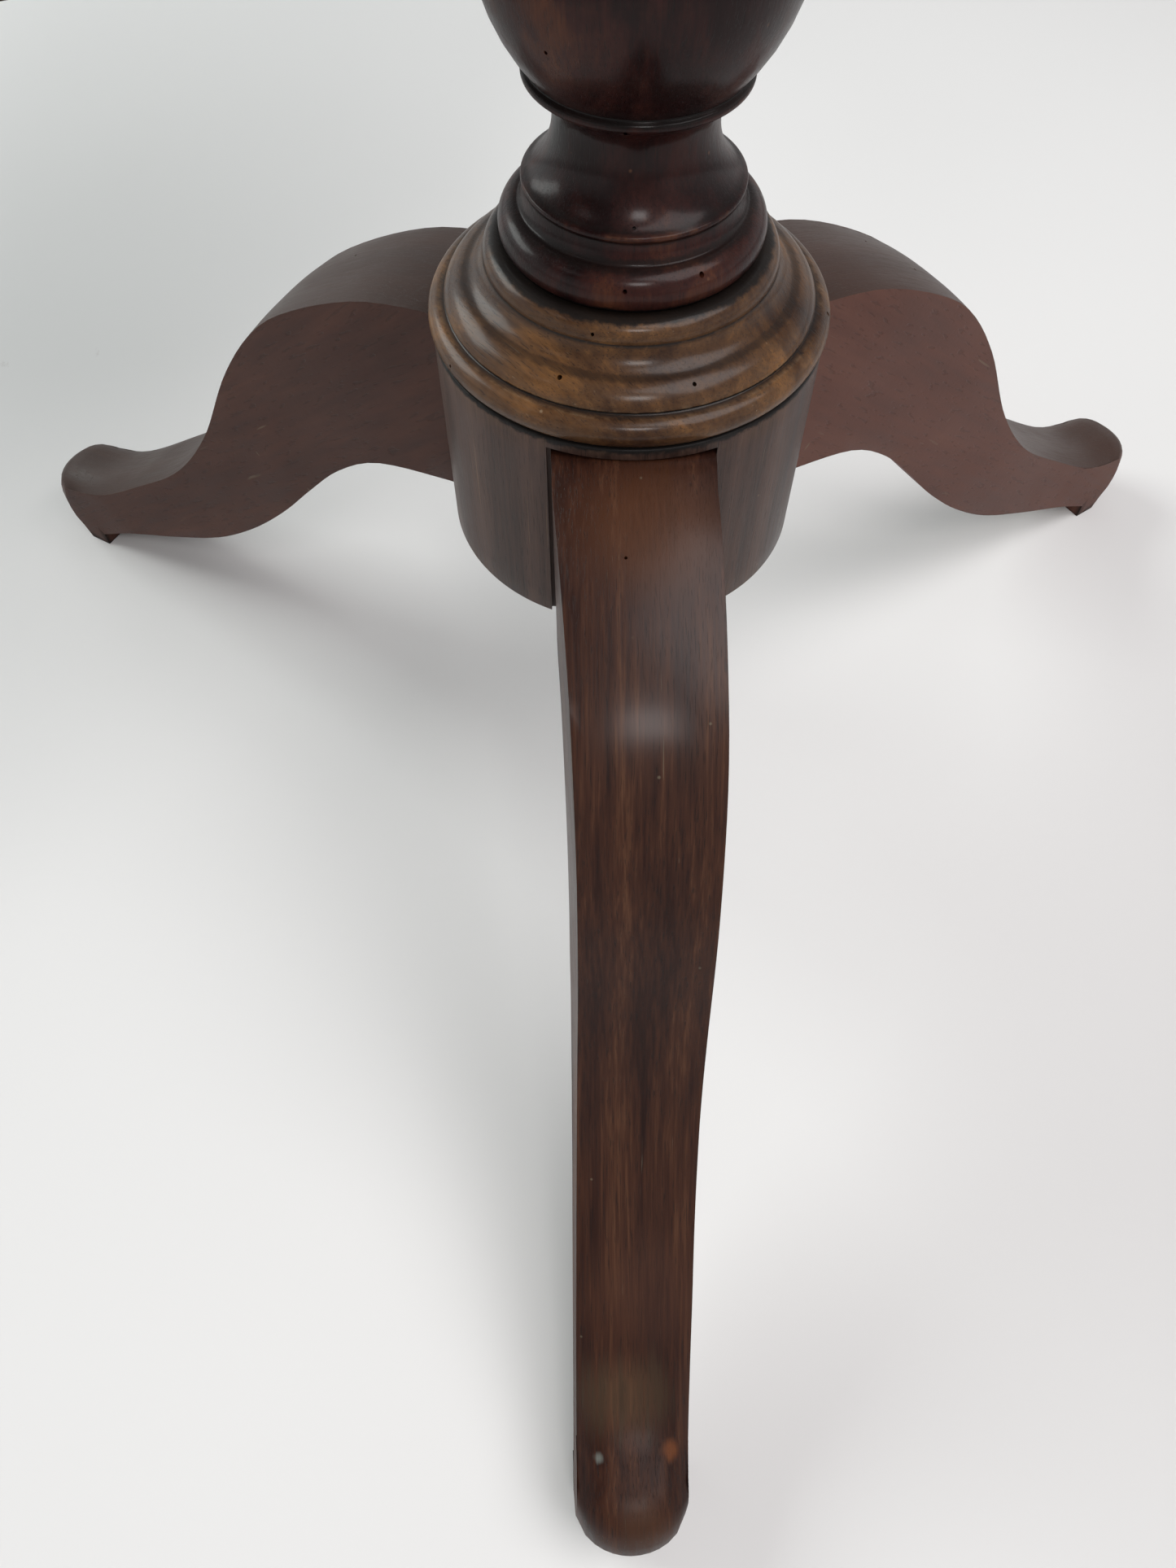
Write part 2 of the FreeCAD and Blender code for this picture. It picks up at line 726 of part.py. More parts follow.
keeper_high = total(*BLOCK_TOP, "-keeper_top_margin")
keeper_out = -total("block_half_side", "keeper_thick")
keeper_places = []
for side in (1, -1):
    point = Vector(keeper_out, side * size("keeper_screw_out"), keeper_high - size("keeper_height") / 2)
    keeper_places.append((point, Vector(-1, 0, 0)))
keeper_holes = screw_set("keeper_screws", keeper_places, size("small_screw_length"))

keeper_body = solid("keeper_blank", Part.makeBox(
    size("keeper_thick"), 2 * size("keeper_half_width"), size("keeper_height"),
    Vector(keeper_out, -size("keeper_half_width"), keeper_high - size("keeper_height"))))
keep(cut("keeper_plate", keeper_body, [bolt_hole("keeper_mouth"), keeper_holes]), "keeper_plate")

pin_seats = []
for pin_name, side in (("left_pivot_pin", 1), ("right_pivot_pin", -1)):
    keep(solid(pin_name, pin_shape(side, 0.0)), pin_name)
    pin_seats.append(solid(f"{pin_name}_seat", pin_shape(side, 0.0)))
keep(cut("block", make_block(), [bolt_hole("block_mouth"), keeper_holes, *pin_seats]), "block")


# ---------------------------------------------------------------- build: top

# The top and all that rides on it is modelled level, then turned down about the pivot.
pivot = Vector(total(*PIVOT_OUT), 0, total(*PIVOT_HEIGHT))
TILT = Placement(Vector(0, 0, 0), Rotation(Vector(0, 1, 0), 90), pivot)


def keep_tilted(item, label):
    item.Placement = TILT.multiply(item.Placement)
    return keep(item, label)


def make_disc(name):
    """Whole round top: rounded above, flat rim, bevelled below."""
    body = doc.addObject("PartDesign::Body", name)
    outline = new_sketch(body, f"{name}_edge", "XZ_Plane")
    rim = size("top_radius")
    low = total(*TOP_UNDERSIDE)
    high = size("table_height")
    soft = size("edge_round")
    bend = soft * (1 - math.sqrt(0.5))
    draw_shape(outline, [
        Part.LineSegment(Vector(0, low, 0), Vector(rim - size("edge_bevel_width"), low, 0)),
        Part.LineSegment(Vector(rim - size("edge_bevel_width"), low, 0),
                         Vector(rim, low + size("edge_bevel_height"), 0)),
        Part.LineSegment(Vector(rim, low + size("edge_bevel_height"), 0),
                         Vector(rim, high - soft, 0)),
        Part.Arc(Vector(rim, high - soft, 0), Vector(rim - bend, high - bend, 0),
                 Vector(rim - soft, high, 0)),
        Part.LineSegment(Vector(rim - soft, high, 0), Vector(0, high, 0)),
        Part.LineSegment(Vector(0, high, 0), Vector(0, low, 0)),
    ])
    turning = body.newObject("PartDesign::Revolution", f"{name}_turning")
    turning.Profile = outline
    turning.ReferenceAxis = (outline, ["V_Axis"])
    turning.Angle = 360
    body.Tip = turning
    return body


def make_board(name, start, end):
    """One board of the round top, from start to end along X."""
    strip = solid(f"{name}_strip", Part.makeBox(
        end - start, 2 * size("top_radius"), size("top_thickness"),
        Vector(start, -size("top_radius"), total(*TOP_UNDERSIDE))))
    board = doc.addObject("Part::Common", f"{name}_blank")
    board.Base = make_disc(f"{name}_disc")
    board.Tool = strip
    return board


def make_bearer(name, side):
    """Batten across the boards, thinned towards both ends."""
    body = doc.addObject("PartDesign::Body", f"{name}_body")
    outline = new_sketch(body, f"{name}_side", "XZ_Plane")
    outer_side = total("block_half_side", "bearer_gap", "bearer_width")
    chord = math.sqrt(size("top_radius") ** 2 - outer_side ** 2)
    half = chord - size("bearer_end_margin")
    high = total(*TOP_UNDERSIDE)
    low = high - size("bearer_depth")
    tip = high - size("bearer_tip_depth")
    flat = half - size("bearer_taper")
    draw_polygon(outline, [(-half, high), (-half, tip), (-flat, low), (flat, low), (half, tip),
                           (half, high)])
    blank = body.newObject("PartDesign::Pad", f"{name}_blank")
    blank.Profile = outline
    blank.setExpression("Length", "Sizes.bearer_width")
    blank.Midplane = True
    body.Tip = blank
    middle = total("block_half_side", "bearer_gap") + size("bearer_width") / 2
    body.Placement = Placement(Vector(0, side * middle, 0), Rotation())
    return body


bearer_middle = total("block_half_side", "bearer_gap") + size("bearer_width") / 2
outer_screw = total("board_half_width", "bearer_screw_beyond")
sunk_head = total(*TOP_UNDERSIDE, "-bearer_depth", "bearer_screw_sink")
bearer_places = []
well_shapes = []
for side in (1, -1):
    for out in (-outer_screw, -size("bearer_screw_inner"), size("bearer_screw_inner"), outer_screw):
        point = Vector(out, side * bearer_middle, sunk_head)
        bearer_places.append((point, -UP))
        well_shapes.append(Part.makeCylinder(size("screw_head_radius") + size("screw_gap"),
                                             total("bearer_screw_sink", "cut_margin"), point, -UP))
bearer_holes = solid("bearer_screw_holes", screws_at(
    bearer_places, size("bearer_screw_length"), size("screw_gap")))
bearer_wells = solid("bearer_wells", Part.makeCompound(well_shapes))
keep_tilted(solid("bearer_screws", screws_at(bearer_places, size("bearer_screw_length"))),
            "bearer_screws")

plate_end = -total("block_half_side", "bolt_plate_setback")
plate_middle = plate_end - size("bolt_plate_length") / 2
plate_low = total(*TOP_UNDERSIDE, "-bolt_plate_thick")
bolt_screw_places = []
for side in (1, -1):
    for out in (-1, 1):
        point = Vector(plate_middle + out * size("bolt_screw_spread"),
                       side * total("bolt_plate_half_width", "-bolt_screw_inset"), plate_low)
        bolt_screw_places.append((point, -UP))
bolt_screw_holes = solid("bolt_screw_holes", screws_at(
    bolt_screw_places, size("small_screw_length"), size("screw_gap")))
keep_tilted(solid("bolt_screws", screws_at(bolt_screw_places, size("small_screw_length"))),
            "bolt_screws")

joint = size("board_half_width")
rim = size("top_radius")
for board_name, start, end in (("upper_top_board", -rim, -joint), ("middle_top_board", -joint, joint),
                               ("lower_top_board", joint, rim)):
    board = make_board(board_name, start, end)
    keep_tilted(cut(board_name, board, [bearer_holes, bolt_screw_holes]), board_name)

for bearer_name, side in (("left_bearer", 1), ("right_bearer", -1)):
    bore_slack = size("pin_gap")
    bore = solid(f"{bearer_name}_bore", Part.makeCylinder(
        size("pin_radius") + bore_slack, total("bearer_width", "cut_margin", "cut_margin"),
        Vector(pivot.x, side * total("block_half_side", "bearer_gap", "-cut_margin"), pivot.z),
        Vector(0, side, 0)))
    batten = make_bearer(bearer_name, side)
    keep_tilted(cut(bearer_name, batten, [bore, bearer_holes, bearer_wells]), bearer_name)


# ---------------------------------------------------------------- build: catch

plate_blank = solid("bolt_plate_blank", Part.makeBox(
    size("bolt_plate_length"), 2 * size("bolt_plate_half_width"), size("bolt_plate_thick"),
    Vector(plate_end - size("bolt_plate_length"), -size("bolt_plate_half_width"), plate_low)))
keep_tilted(cut("bolt_plate", plate_blank, [bolt_screw_holes]), "bolt_plate")


def guide_shape(start):
    """Bridge over the bolt with a foot each side, drawn across the bolt and extruded along it."""
    inner = size("bolt_width") / 2 + size("bolt_gap")
    outer = inner + size("guide_thick")
    foot = outer + size("guide_foot")
    crown = total(*BOLT_LOW) - size("bolt_gap")
    floor = crown - size("guide_thick")
    foot_low = plate_low - size("guide_thick")
    outline = [(-foot, plate_low), (-foot, foot_low), (-outer, foot_low), (-outer, floor),
               (outer, floor), (outer, foot_low), (foot, foot_low), (foot, plate_low),
               (inner, plate_low), (inner, crown), (-inner, crown), (-inner, plate_low)]
    face = Part.Face(Part.makePolygon([Vector(start, y, z) for y, z in outline + outline[:1]]))
    return face.extrude(Vector(size("guide_length"), 0, 0))


guide_front = plate_end - size("guide_inset") - size("guide_length")
guide_back = plate_end - size("bolt_plate_length") + size("guide_inset")
keep_tilted(solid("bolt_guides", Part.makeCompound([guide_shape(guide_front), guide_shape(guide_back)])),
            "bolt_guides")

bolt_front = -total("block_half_side", "keeper_thick", "bolt_setback")
bolt_low = total(*BOLT_LOW)
bolt_blank = Part.makeBox(size("bolt_length"), size("bolt_width"), size("bolt_thick"),
                          Vector(bolt_front - size("bolt_length"), -size("bolt_width") / 2, bolt_low))
knob_out = plate_middle - size("bolt_travel") / 2
stem_hole = Part.makeCylinder(total("knob_stem_radius", "pin_gap"), size("bolt_thick") / 2,
                              Vector(knob_out, 0, bolt_low), UP)
keep_tilted(solid("bolt_bar", bolt_blank.cut(stem_hole)), "bolt_bar")


def knob_shape():
    """Small turned knob with its stem let halfway into the bolt."""
    stem = size("knob_stem_radius")
    ball = size("knob_radius")
    low = bolt_low - size("knob_height")
    middle = low + ball
    start = Vector(stem, 0, middle + math.sqrt(ball * ball - stem * stem))
    ball_arc = Part.Arc(start, Vector(ball, 0, middle), Vector(0, 0, low)).toShape()
    stem_top = bolt_low + size("bolt_thick") / 2
    line = Part.makePolygon([Vector(0, 0, low), Vector(0, 0, stem_top), Vector(stem, 0, stem_top), start])
    face = Part.Face(Part.Wire([ball_arc, *line.Edges]))
    knob = face.revolve(Vector(0, 0, 0), UP, 360)
    knob.translate(Vector(knob_out, 0, 0))
    return knob


keep_tilted(solid("bolt_knob", knob_shape()), "bolt_knob")


# ---------------------------------------------------------------- check and write

doc.recompute()
for item in doc.Objects:
    if "Invalid" in item.State or "Error" in item.State:
        raise RuntimeError(f"{item.Name} ({item.Label}) failed: {item.State}")
os.makedirs("parts", exist_ok=True)
for label, item in nodes.items():
    shape = item.Shape
    if shape.isNull() or not shape.isValid() or not shape.Solids:
        raise RuntimeError(f"{label} has no valid solid")
    shape.exportStep(f"parts/{label}.step")
    box_now = shape.BoundBox
    print(f"{label}: {len(shape.Solids)} solid, {shape.Volume / 1000:.1f} cm3, "
          f"z {box_now.ZMin:.1f} to {box_now.ZMax:.1f}")
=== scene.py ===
import math

import bmesh
import bpy
from mathutils import Matrix, Vector


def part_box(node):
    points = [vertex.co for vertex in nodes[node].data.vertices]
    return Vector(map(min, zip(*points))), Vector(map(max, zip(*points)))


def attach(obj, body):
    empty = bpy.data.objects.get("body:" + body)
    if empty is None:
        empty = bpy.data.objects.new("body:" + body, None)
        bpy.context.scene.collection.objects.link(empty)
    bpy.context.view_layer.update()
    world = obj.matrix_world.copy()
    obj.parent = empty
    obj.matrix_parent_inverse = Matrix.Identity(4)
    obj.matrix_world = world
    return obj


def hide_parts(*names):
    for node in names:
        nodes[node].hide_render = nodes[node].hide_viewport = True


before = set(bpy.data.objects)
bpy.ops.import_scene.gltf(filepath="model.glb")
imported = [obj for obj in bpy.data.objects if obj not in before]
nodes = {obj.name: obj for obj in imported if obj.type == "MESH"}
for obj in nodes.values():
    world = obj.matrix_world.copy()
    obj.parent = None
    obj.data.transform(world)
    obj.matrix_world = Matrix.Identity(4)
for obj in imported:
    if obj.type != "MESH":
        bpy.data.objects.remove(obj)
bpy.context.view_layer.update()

mm = 0.001
bpy.ops.object.select_all(action="DESELECT")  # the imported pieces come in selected


# camera, floor and lights

setting = {
    "cameraPlace": (-0.1367, 0.2713, 0.4712),
    "cameraHeading": -61.03,  # degrees round from +X
    "cameraDip": 59.45,
    "cameraRoll": 0.35,
    "lens": 25.21,
    "floorSize": 60.0,
    "floorColour": (0.80, 0.80, 0.795),
    "roomHigh": (0.075, 0.075, 0.080),
    "roomLow": (0.86, 0.87, 0.87),
    "roomStrength": 1.22,
    "roomFade": (0.05, 0.62),  # how far up the light wall runs into the dark ceiling
    "behindShare": 0.35,
    "behindFade": (-0.99, -0.72),
    "lampAim": (0, 0, 0.12),
    "scuffColour": (0.42, 0.38, 0.36),
    "scuffShare": 0.35,
}

# name: right of the camera, ahead of it, height, width, tall, watts, colour
lamps = {
    "mainWindow": (0.95, -0.40, 2.20, 1.5, 1.5, 34.0, (1.0, 0.965, 0.965)),
    "windowLeft": (-1.90, 0.95, 1.50, 1.5, 1.3, 35.0, (0.95, 1.0, 0.975)),
    "windowBehind": (0.22, -1.75, 2.25, 0.55, 0.50, 15.0, (1.0, 0.97, 0.96)),
    "ceiling": (0.10, 1.60, 2.80, 2.0, 2.0, 5.0, (1.0, 1.0, 1.0)),
}


def addCamera():
    heading = math.radians(setting["cameraHeading"] - 90)
    dip = math.radians(90 - setting["cameraDip"])
    roll = math.radians(setting["cameraRoll"])
    turn = Matrix.Rotation(heading, 4, "Z") @ Matrix.Rotation(dip, 4, "X") @ Matrix.Rotation(roll, 4, "Z")
    lens = bpy.data.cameras.new("camera")
    lens.lens = setting["lens"]
    lens.sensor_width = 36
    lens.clip_start = 0.01
    camera = bpy.data.objects.new("camera", lens)
    camera.matrix_world = Matrix.Translation(setting["cameraPlace"]) @ turn
    bpy.context.scene.collection.objects.link(camera)
    bpy.context.scene.camera = camera


def lookingWay():
    heading = math.radians(setting["cameraHeading"])
    return Vector((math.cos(heading), math.sin(heading), 0))


def addLamp(name, right, ahead, height, width, tall, watts, colour):
    forward = lookingWay()
    side = Vector((forward.y, -forward.x, 0))
    place = side * right + forward * ahead + Vector((0, 0, height))
    bpy.ops.object.light_add(type="AREA", location=place)
    lamp = bpy.context.object
    lamp.name = name
    lamp.data.shape = "RECTANGLE"
    lamp.data.size = width
    lamp.data.size_y = tall
    lamp.data.energy = watts
    lamp.data.color = colour
    lamp.rotation_euler = (Vector(setting["lampAim"]) - place).to_track_quat("-Z", "Y").to_euler()


def lightRoom():
    world = bpy.data.worlds.new("room")
    bpy.context.scene.world = world
    world.use_nodes = True
    tree = world.node_tree
    around = tree.nodes.new("ShaderNodeTexCoord")
    split = tree.nodes.new("ShaderNodeSeparateXYZ")
    fade = tree.nodes.new("ShaderNodeValToRGB")
    tree.links.new(around.outputs["Generated"], split.inputs[0])
    tree.links.new(split.outputs["Z"], fade.inputs["Fac"])
    ends = zip(fade.color_ramp.elements, setting["roomFade"], (setting["roomLow"], setting["roomHigh"]))
    for element, position, colour in ends:
        element.position = position
        element.color = (*colour, 1)
    # the room is darker straight behind the camera
    ways = {0: around.outputs["Generated"], 1: lookingWay()}
    facing = addNode(tree, "ShaderNodeVectorMath", ways, operation="DOT_PRODUCT").outputs["Value"]
    behind = spread(tree, facing, *setting["behindFade"], setting["behindShare"], 1.0)
    dimmed = addNode(tree, "ShaderNodeVectorMath", {0: fade.outputs["Color"], 3: behind}, operation="SCALE")
    tree.links.new(dimmed.outputs[0], tree.nodes["Background"].inputs["Color"])
    tree.nodes["Background"].inputs["Strength"].default_value = setting["roomStrength"]
    bpy.context.scene.view_settings.view_transform = "Standard"


addCamera()
for lampName, lampValues in lamps.items():
    addLamp(lampName, *lampValues)
print("camera and lamps set")


# node helpers for the finishes

def addNode(tree, kind, inputs=None, **settings):
    made = tree.nodes.new(kind)
    for key, value in settings.items():
        setattr(made, key, value)
    for key, value in (inputs or {}).items():
        if isinstance(value, bpy.types.NodeSocket):
            tree.links.new(value, made.inputs[key])
        else:
            made.inputs[key].default_value = value
    return made


def shift(tree, vector, scale=(1, 1, 1), turn=(0, 0, 0), move=(0, 0, 0)):
    made = addNode(tree, "ShaderNodeMapping", {"Vector": vector, "Scale": scale, "Location": move})
    made.inputs["Rotation"].default_value = [math.radians(a) for a in turn]
    return made.outputs["Vector"]


def noise(tree, vector, scale, detail=3, roughness=0.55, wander=0.0):
    values = {"Vector": vector, "Scale": scale, "Detail": detail, "Roughness": roughness,
              "Distortion": wander}
    return addNode(tree, "ShaderNodeTexNoise", values).outputs["Fac"]


def maths(tree, what, a, b=0.0, hold=False):
    return addNode(tree, "ShaderNodeMath", {0: a, 1: b}, operation=what, use_clamp=hold).outputs[0]


def spread(tree, value, low, high, toLow=0.0, toHigh=1.0):
    values = {0: value, 1: low, 2: high, 3: toLow, 4: toHigh}
    return addNode(tree, "ShaderNodeMapRange", values, interpolation_type="SMOOTHSTEP").outputs[0]


def mixColour(tree, share, a, b):
    made = addNode(tree, "ShaderNodeMix", {0: share}, data_type="RGBA")
    for key, value in ((6, a), (7, b)):
        if isinstance(value, bpy.types.NodeSocket):
            tree.links.new(value, made.inputs[key])
        else:
            made.inputs[key].default_value = (*value, 1)
    return made.outputs[2]


def colourRamp(tree, value, stops):
    made = addNode(tree, "ShaderNodeValToRGB", {"Fac": value})
    ramp = made.color_ramp
    while len(ramp.elements) < len(stops):
        ramp.elements.new(0.5)
    for element, (position, colour) in zip(ramp.elements, stops):
        element.position = position
        element.color = (*colour, 1)
    return made.outputs["Color"]


def startFinish(name):
    material = bpy.data.materials.new(name)
    material.use_nodes = True
    tree = material.node_tree
    tree.nodes.clear()
    shader = tree.nodes.new("ShaderNodeBsdfPrincipled")
    output = tree.nodes.new("ShaderNodeOutputMaterial")
    tree.links.new(shader.outputs[0], output.inputs["Surface"])
    place = tree.nodes.new("ShaderNodeTexCoord").outputs["Object"]
    return material, tree, shader, place


# old polished wood

woodLook = {
    "black": (0.010, 0.0055, 0.0045),
    "dark": (0.020, 0.0085, 0.0065),
    "middle": (0.042, 0.0170, 0.0115),
    "light": (0.085, 0.036, 0.020),
    "bare": (0.200, 0.125, 0.070),
    # dark of the pores, and of dirt and painted shade in hollows and bands
    "grimeAndShade": (0.006, 0.0045, 0.004),
    "paintedShadeColour": (0.040, 0.028, 0.023),
    "blotchSize": 30.0,
    "broadGrain": (6, 110, 110),  # how fast the figure changes along, across and up the board
    "fineGrain": (26, 900, 900),
    "poreGrain": (120, 2600, 2600),
    "slantGrain": (20, 1500, 1500),
    "streak": 0.45,
    "pores": 0.5,
    "specks": 0.5,
    "scratches": 0.35,
    "wear": 0.5,
    "rough": (0.30, 0.50),
    "coat": 0.12,
    "coatRough": 0.22,
    "shine": 0.4,
    "slope": 0.0,  # degrees that the grain falls away from level
    "paintedTopShade": 0.0,  # how far faces that look up are darkened with painted shade
    "flat": 1.0,  # below 1 the figure changes more slowly up the piece than across it
    "bump": 0.35,
    "seed": 0.0,
}


def oldWood(name, turn=(0, 0, 0), bands=(), patches=(), **changes):
    # grain runs along X after turn; bands are (height, half width, strength) of dirt and painted shade round
    # a turning
    look = {**woodLook, **changes}
    material, tree, shader, place = startFinish(name)
    seed = look["seed"]
    board = shift(tree, place, turn=turn, move=(seed, seed * 0.7, seed * 1.3))
    board = shift(tree, board, turn=(0, look["slope"], 0))
    board = shift(tree, board, scale=(1, 1, look["flat"]))
    blotch = noise(tree, shift(tree, board, scale=(0.55, 1, 1)), look["blotchSize"], 4, 0.6, 0.6)
    broad = noise(tree, shift(tree, board, scale=look["broadGrain"]), 1.0, 3, 0.6, 0.3)
    fine = noise(tree, shift(tree, board, scale=look["fineGrain"]), 1.0, 2, 0.6)
    pore = noise(tree, shift(tree, board, scale=look["poreGrain"]), 1.0, 1, 0.5)
    streak = maths(tree, "ADD", maths(tree, "MULTIPLY", broad, 0.62), maths(tree, "MULTIPLY", fine, 0.38))
    tone = maths(tree, "ADD", maths(tree, "MULTIPLY", blotch, 1 - look["streak"]),
                 maths(tree, "MULTIPLY", streak, look["streak"]))
    colour = colourRamp(tree, tone, [(0.33, look["black"]), (0.43, look["dark"]), (0.54, look["middle"]),
                                     (0.68, look["light"])])
    pits = spread(tree, pore, 0.60, 0.70)
    pitShare = maths(tree, "MULTIPLY", pits, look["pores"])
    colour = mixColour(tree, pitShare, colour, look["grimeAndShade"])
    for centre, radius, tint, strength in patches:  # stains and rubbed places, in metres on the piece
        away = addNode(tree, "ShaderNodeVectorMath", {0: place, 1: centre}, operation="DISTANCE")
        ragged = maths(tree, "MULTIPLY", maths(tree, "SUBTRACT", tone, 0.5), radius * 2.4)
        ragged = maths(tree, "ADD", away.outputs["Value"], ragged)
        patch = spread(tree, ragged, radius, radius * 0.25, 0.0, strength)
        colour = mixColour(tree, patch, colour, tint)
    worn = addNode(tree, "ShaderNodeAttribute", attribute_name="worn").outputs["Fac"]
    hollowness = addNode(tree, "ShaderNodeAttribute", attribute_name="hollowness").outputs["Fac"]
    chafe = noise(tree, place, 260.0, 4, 0.7)
    rubbed = maths(tree, "MULTIPLY", worn, spread(tree, maths(tree, "ADD", chafe, blotch), 0.90, 1.22))
    height = addNode(tree, "ShaderNodeSeparateXYZ", {0: place}).outputs["Z"]
    # the toes are dirty, not worn
    rubbed = maths(tree, "MULTIPLY", rubbed, spread(tree, height, 0.042, 0.056))
    colour = mixColour(tree, maths(tree, "MULTIPLY", rubbed, look["wear"], True), colour, look["bare"])
    dots = addNode(tree, "ShaderNodeTexVoronoi", {"Vector": board, "Scale": 130.0}, feature="F1")
    pick = addNode(tree, "ShaderNodeSeparateColor", {0: dots.outputs["Color"]}).outputs[0]
    dot = spread(tree, dots.outputs["Distance"], 0.085, 0.03)
    dot = maths(tree, "MULTIPLY", dot, spread(tree, pick, 0.80, 0.86))
    colour = mixColour(tree, maths(tree, "MULTIPLY", dot, look["specks"]), colour, look["bare"])
    slant = noise(tree, shift(tree, board, scale=look["slantGrain"], turn=(20, 35, 28)), 1.0, 1, 0.4)
    scratch = maths(tree, "MULTIPLY", spread(tree, slant, 0.735, 0.78), spread(tree, blotch, 0.52, 0.62))
    colour = mixColour(tree, maths(tree, "MULTIPLY", scratch, look["scratches"]), colour, look["bare"])
    # corners that turn in and the bands round grooves and joints darken: dirt and painted shade
    dirtAndShade = maths(tree, "MULTIPLY", hollowness, spread(tree, chafe, 0.25, 0.5))
    for level, half, strength in bands:
        off = maths(tree, "ABSOLUTE", maths(tree, "SUBTRACT", height, level))
        ragged = maths(tree, "MULTIPLY", maths(tree, "SUBTRACT", chafe, 0.5), half * 1.6)
        off = maths(tree, "ADD", off, ragged)
        dirtAndShade = maths(tree, "MAXIMUM", dirtAndShade, spread(tree, off, half, half * 0.3, 0.0, strength))
    colour = mixColour(tree, dirtAndShade, colour, look["grimeAndShade"])
    # faces that look up are darkened: painted shade on the tops
    facing = tree.nodes.new("ShaderNodeTexCoord").outputs["Normal"]
    upward = addNode(tree, "ShaderNodeSeparateXYZ", {0: facing}).outputs["Z"]
    colour = mixColour(tree, spread(tree, upward, 0.25, 0.7, 0.0, look["paintedTopShade"]), colour, look["paintedShadeColour"])
    tree.links.new(colour, shader.inputs["Base Color"])
    gloss = maths(tree, "ADD", blotch, maths(tree, "MULTIPLY", fine, 0.4))
    gloss = spread(tree, gloss, 0.5, 0.9, *look["rough"])
    gloss = maths(tree, "ADD", gloss, maths(tree, "MULTIPLY", maths(tree, "ADD", dirtAndShade, rubbed), 0.2))
    tree.links.new(gloss, shader.inputs["Roughness"])
    # the feet have lost most of their polish
    polish = spread(tree, height, 0.06, 0.13, look["coat"] * 0.2, look["coat"])
    tree.links.new(polish, shader.inputs["Coat Weight"])
    shader.inputs["Coat Roughness"].default_value = look["coatRough"]
    shader.inputs["Specular IOR Level"].default_value = look["shine"]
    relief = maths(tree, "SUBTRACT", maths(tree, "MULTIPLY", fine, 0.6), maths(tree, "MULTIPLY", pits, 0.7))
    relief = maths(tree, "ADD", relief, maths(tree, "MULTIPLY", chafe, 0.45))
    relief = maths(tree, "SUBTRACT", relief, maths(tree, "MULTIPLY", scratch, 0.5))
    bump = addNode(tree, "ShaderNodeBump", {"Height": relief, "Strength": look["bump"], "Distance": 0.0004})
    tree.links.new(bump.outputs["Normal"], shader.inputs["Normal"])
    return material


# metals, and the paper underfoot

def oldMetal(name, clean, tarnish, rough, scale=90.0, cover=(0.45, 0.62)):
    material, tree, shader, place = startFinish(name)
    cloud = noise(tree, place, scale, 5, 0.65, 0.4)
    grit = noise(tree, place, scale * 14, 3, 0.6)
    line = noise(tree, shift(tree, place, scale=(60, 60, 2400)), 1.0, 2, 0.5)
    hollowness = addNode(tree, "ShaderNodeAttribute", attribute_name="hollowness").outputs["Fac"]
    share = maths(tree, "MAXIMUM", spread(tree, cloud, *cover), hollowness)
    colour = mixColour(tree, share, clean, tarnish)
    colour = mixColour(tree, spread(tree, grit, 0.55, 0.75, 0, 0.5), colour, tuple(c * 0.45 for c in tarnish))
    tree.links.new(colour, shader.inputs["Base Color"])
    tree.links.new(spread(tree, share, 0, 1, 1.0, 0.55), shader.inputs["Metallic"])
    tree.links.new(maths(tree, "ADD", spread(tree, share, 0, 1, *rough), maths(tree, "MULTIPLY", line, 0.15)),
                   shader.inputs["Roughness"])
    relief = maths(tree, "ADD", maths(tree, "MULTIPLY", grit, 0.6), maths(tree, "MULTIPLY", line, 0.3))
    bump = addNode(tree, "ShaderNodeBump", {"Height": relief, "Strength": 0.3, "Distance": 0.0002})
    tree.links.new(bump.outputs["Normal"], shader.inputs["Normal"])
    return material


def paperFloor():
    material, tree, shader, place = startFinish("floorPaper")
    cloud = noise(tree, place, 1.7, 2, 0.5)
    colour = mixColour(tree, spread(tree, cloud, 0.3, 0.7), setting["floorColour"],
                       tuple(c * 0.965 for c in setting["floorColour"]))
    scuff = noise(tree, place, 6.0, 8, 0.78, 0.4)
    scuffed = spread(tree, scuff, 0.665, 0.72, 0.0, setting["scuffShare"])
    colour = mixColour(tree, scuffed, colour, setting["scuffColour"])
    tree.links.new(colour, shader.inputs["Base Color"])
    shader.inputs["Roughness"].default_value = 0.85
    shader.inputs["Specular IOR Level"].default_value = 0.15
    bpy.ops.mesh.primitive_plane_add(size=setting["floorSize"], location=(0, 0, 0))
    floor = bpy.context.object
    floor.name = "floor"
    floor.data.materials.append(material)


lightRoom()
paperFloor()
print("room and floor set")


# modelling helpers

joinDistance = 1e-6


def ramp(value, start, over):
    return min(1, max(0, (value - start) / over))


def only(piece):
    bpy.ops.object.select_all(action="DESELECT")
    piece.select_set(True)
    bpy.context.view_layer.objects.active = piece


def startEditing(piece, mode="VERT"):
    only(piece)
    bpy.ops.object.mode_set(mode="EDIT")
    bpy.ops.mesh.select_mode(type=mode)


def stopEditing():
    bpy.ops.object.mode_set(mode="OBJECT")


def pickEdges(piece, test):
    mesh = bmesh.from_edit_mesh(piece.data)
    for face in mesh.faces:
        face.select = False
    for point in mesh.verts:
        point.select = False
    for edge in mesh.edges:
        edge.select = bool(test(edge.verts[0].co, edge.verts[1].co))
    mesh.select_flush_mode()
    bmesh.update_edit_mesh(piece.data)


def pickPoints(piece, test):
    mesh = bmesh.from_edit_mesh(piece.data)
    for face in mesh.faces:
        face.select = False
    for edge in mesh.edges:
        edge.select = False
    for point in mesh.verts:
        point.select = bool(test(point.co))
    mesh.select_flush_mode()
    bmesh.update_edit_mesh(piece.data)


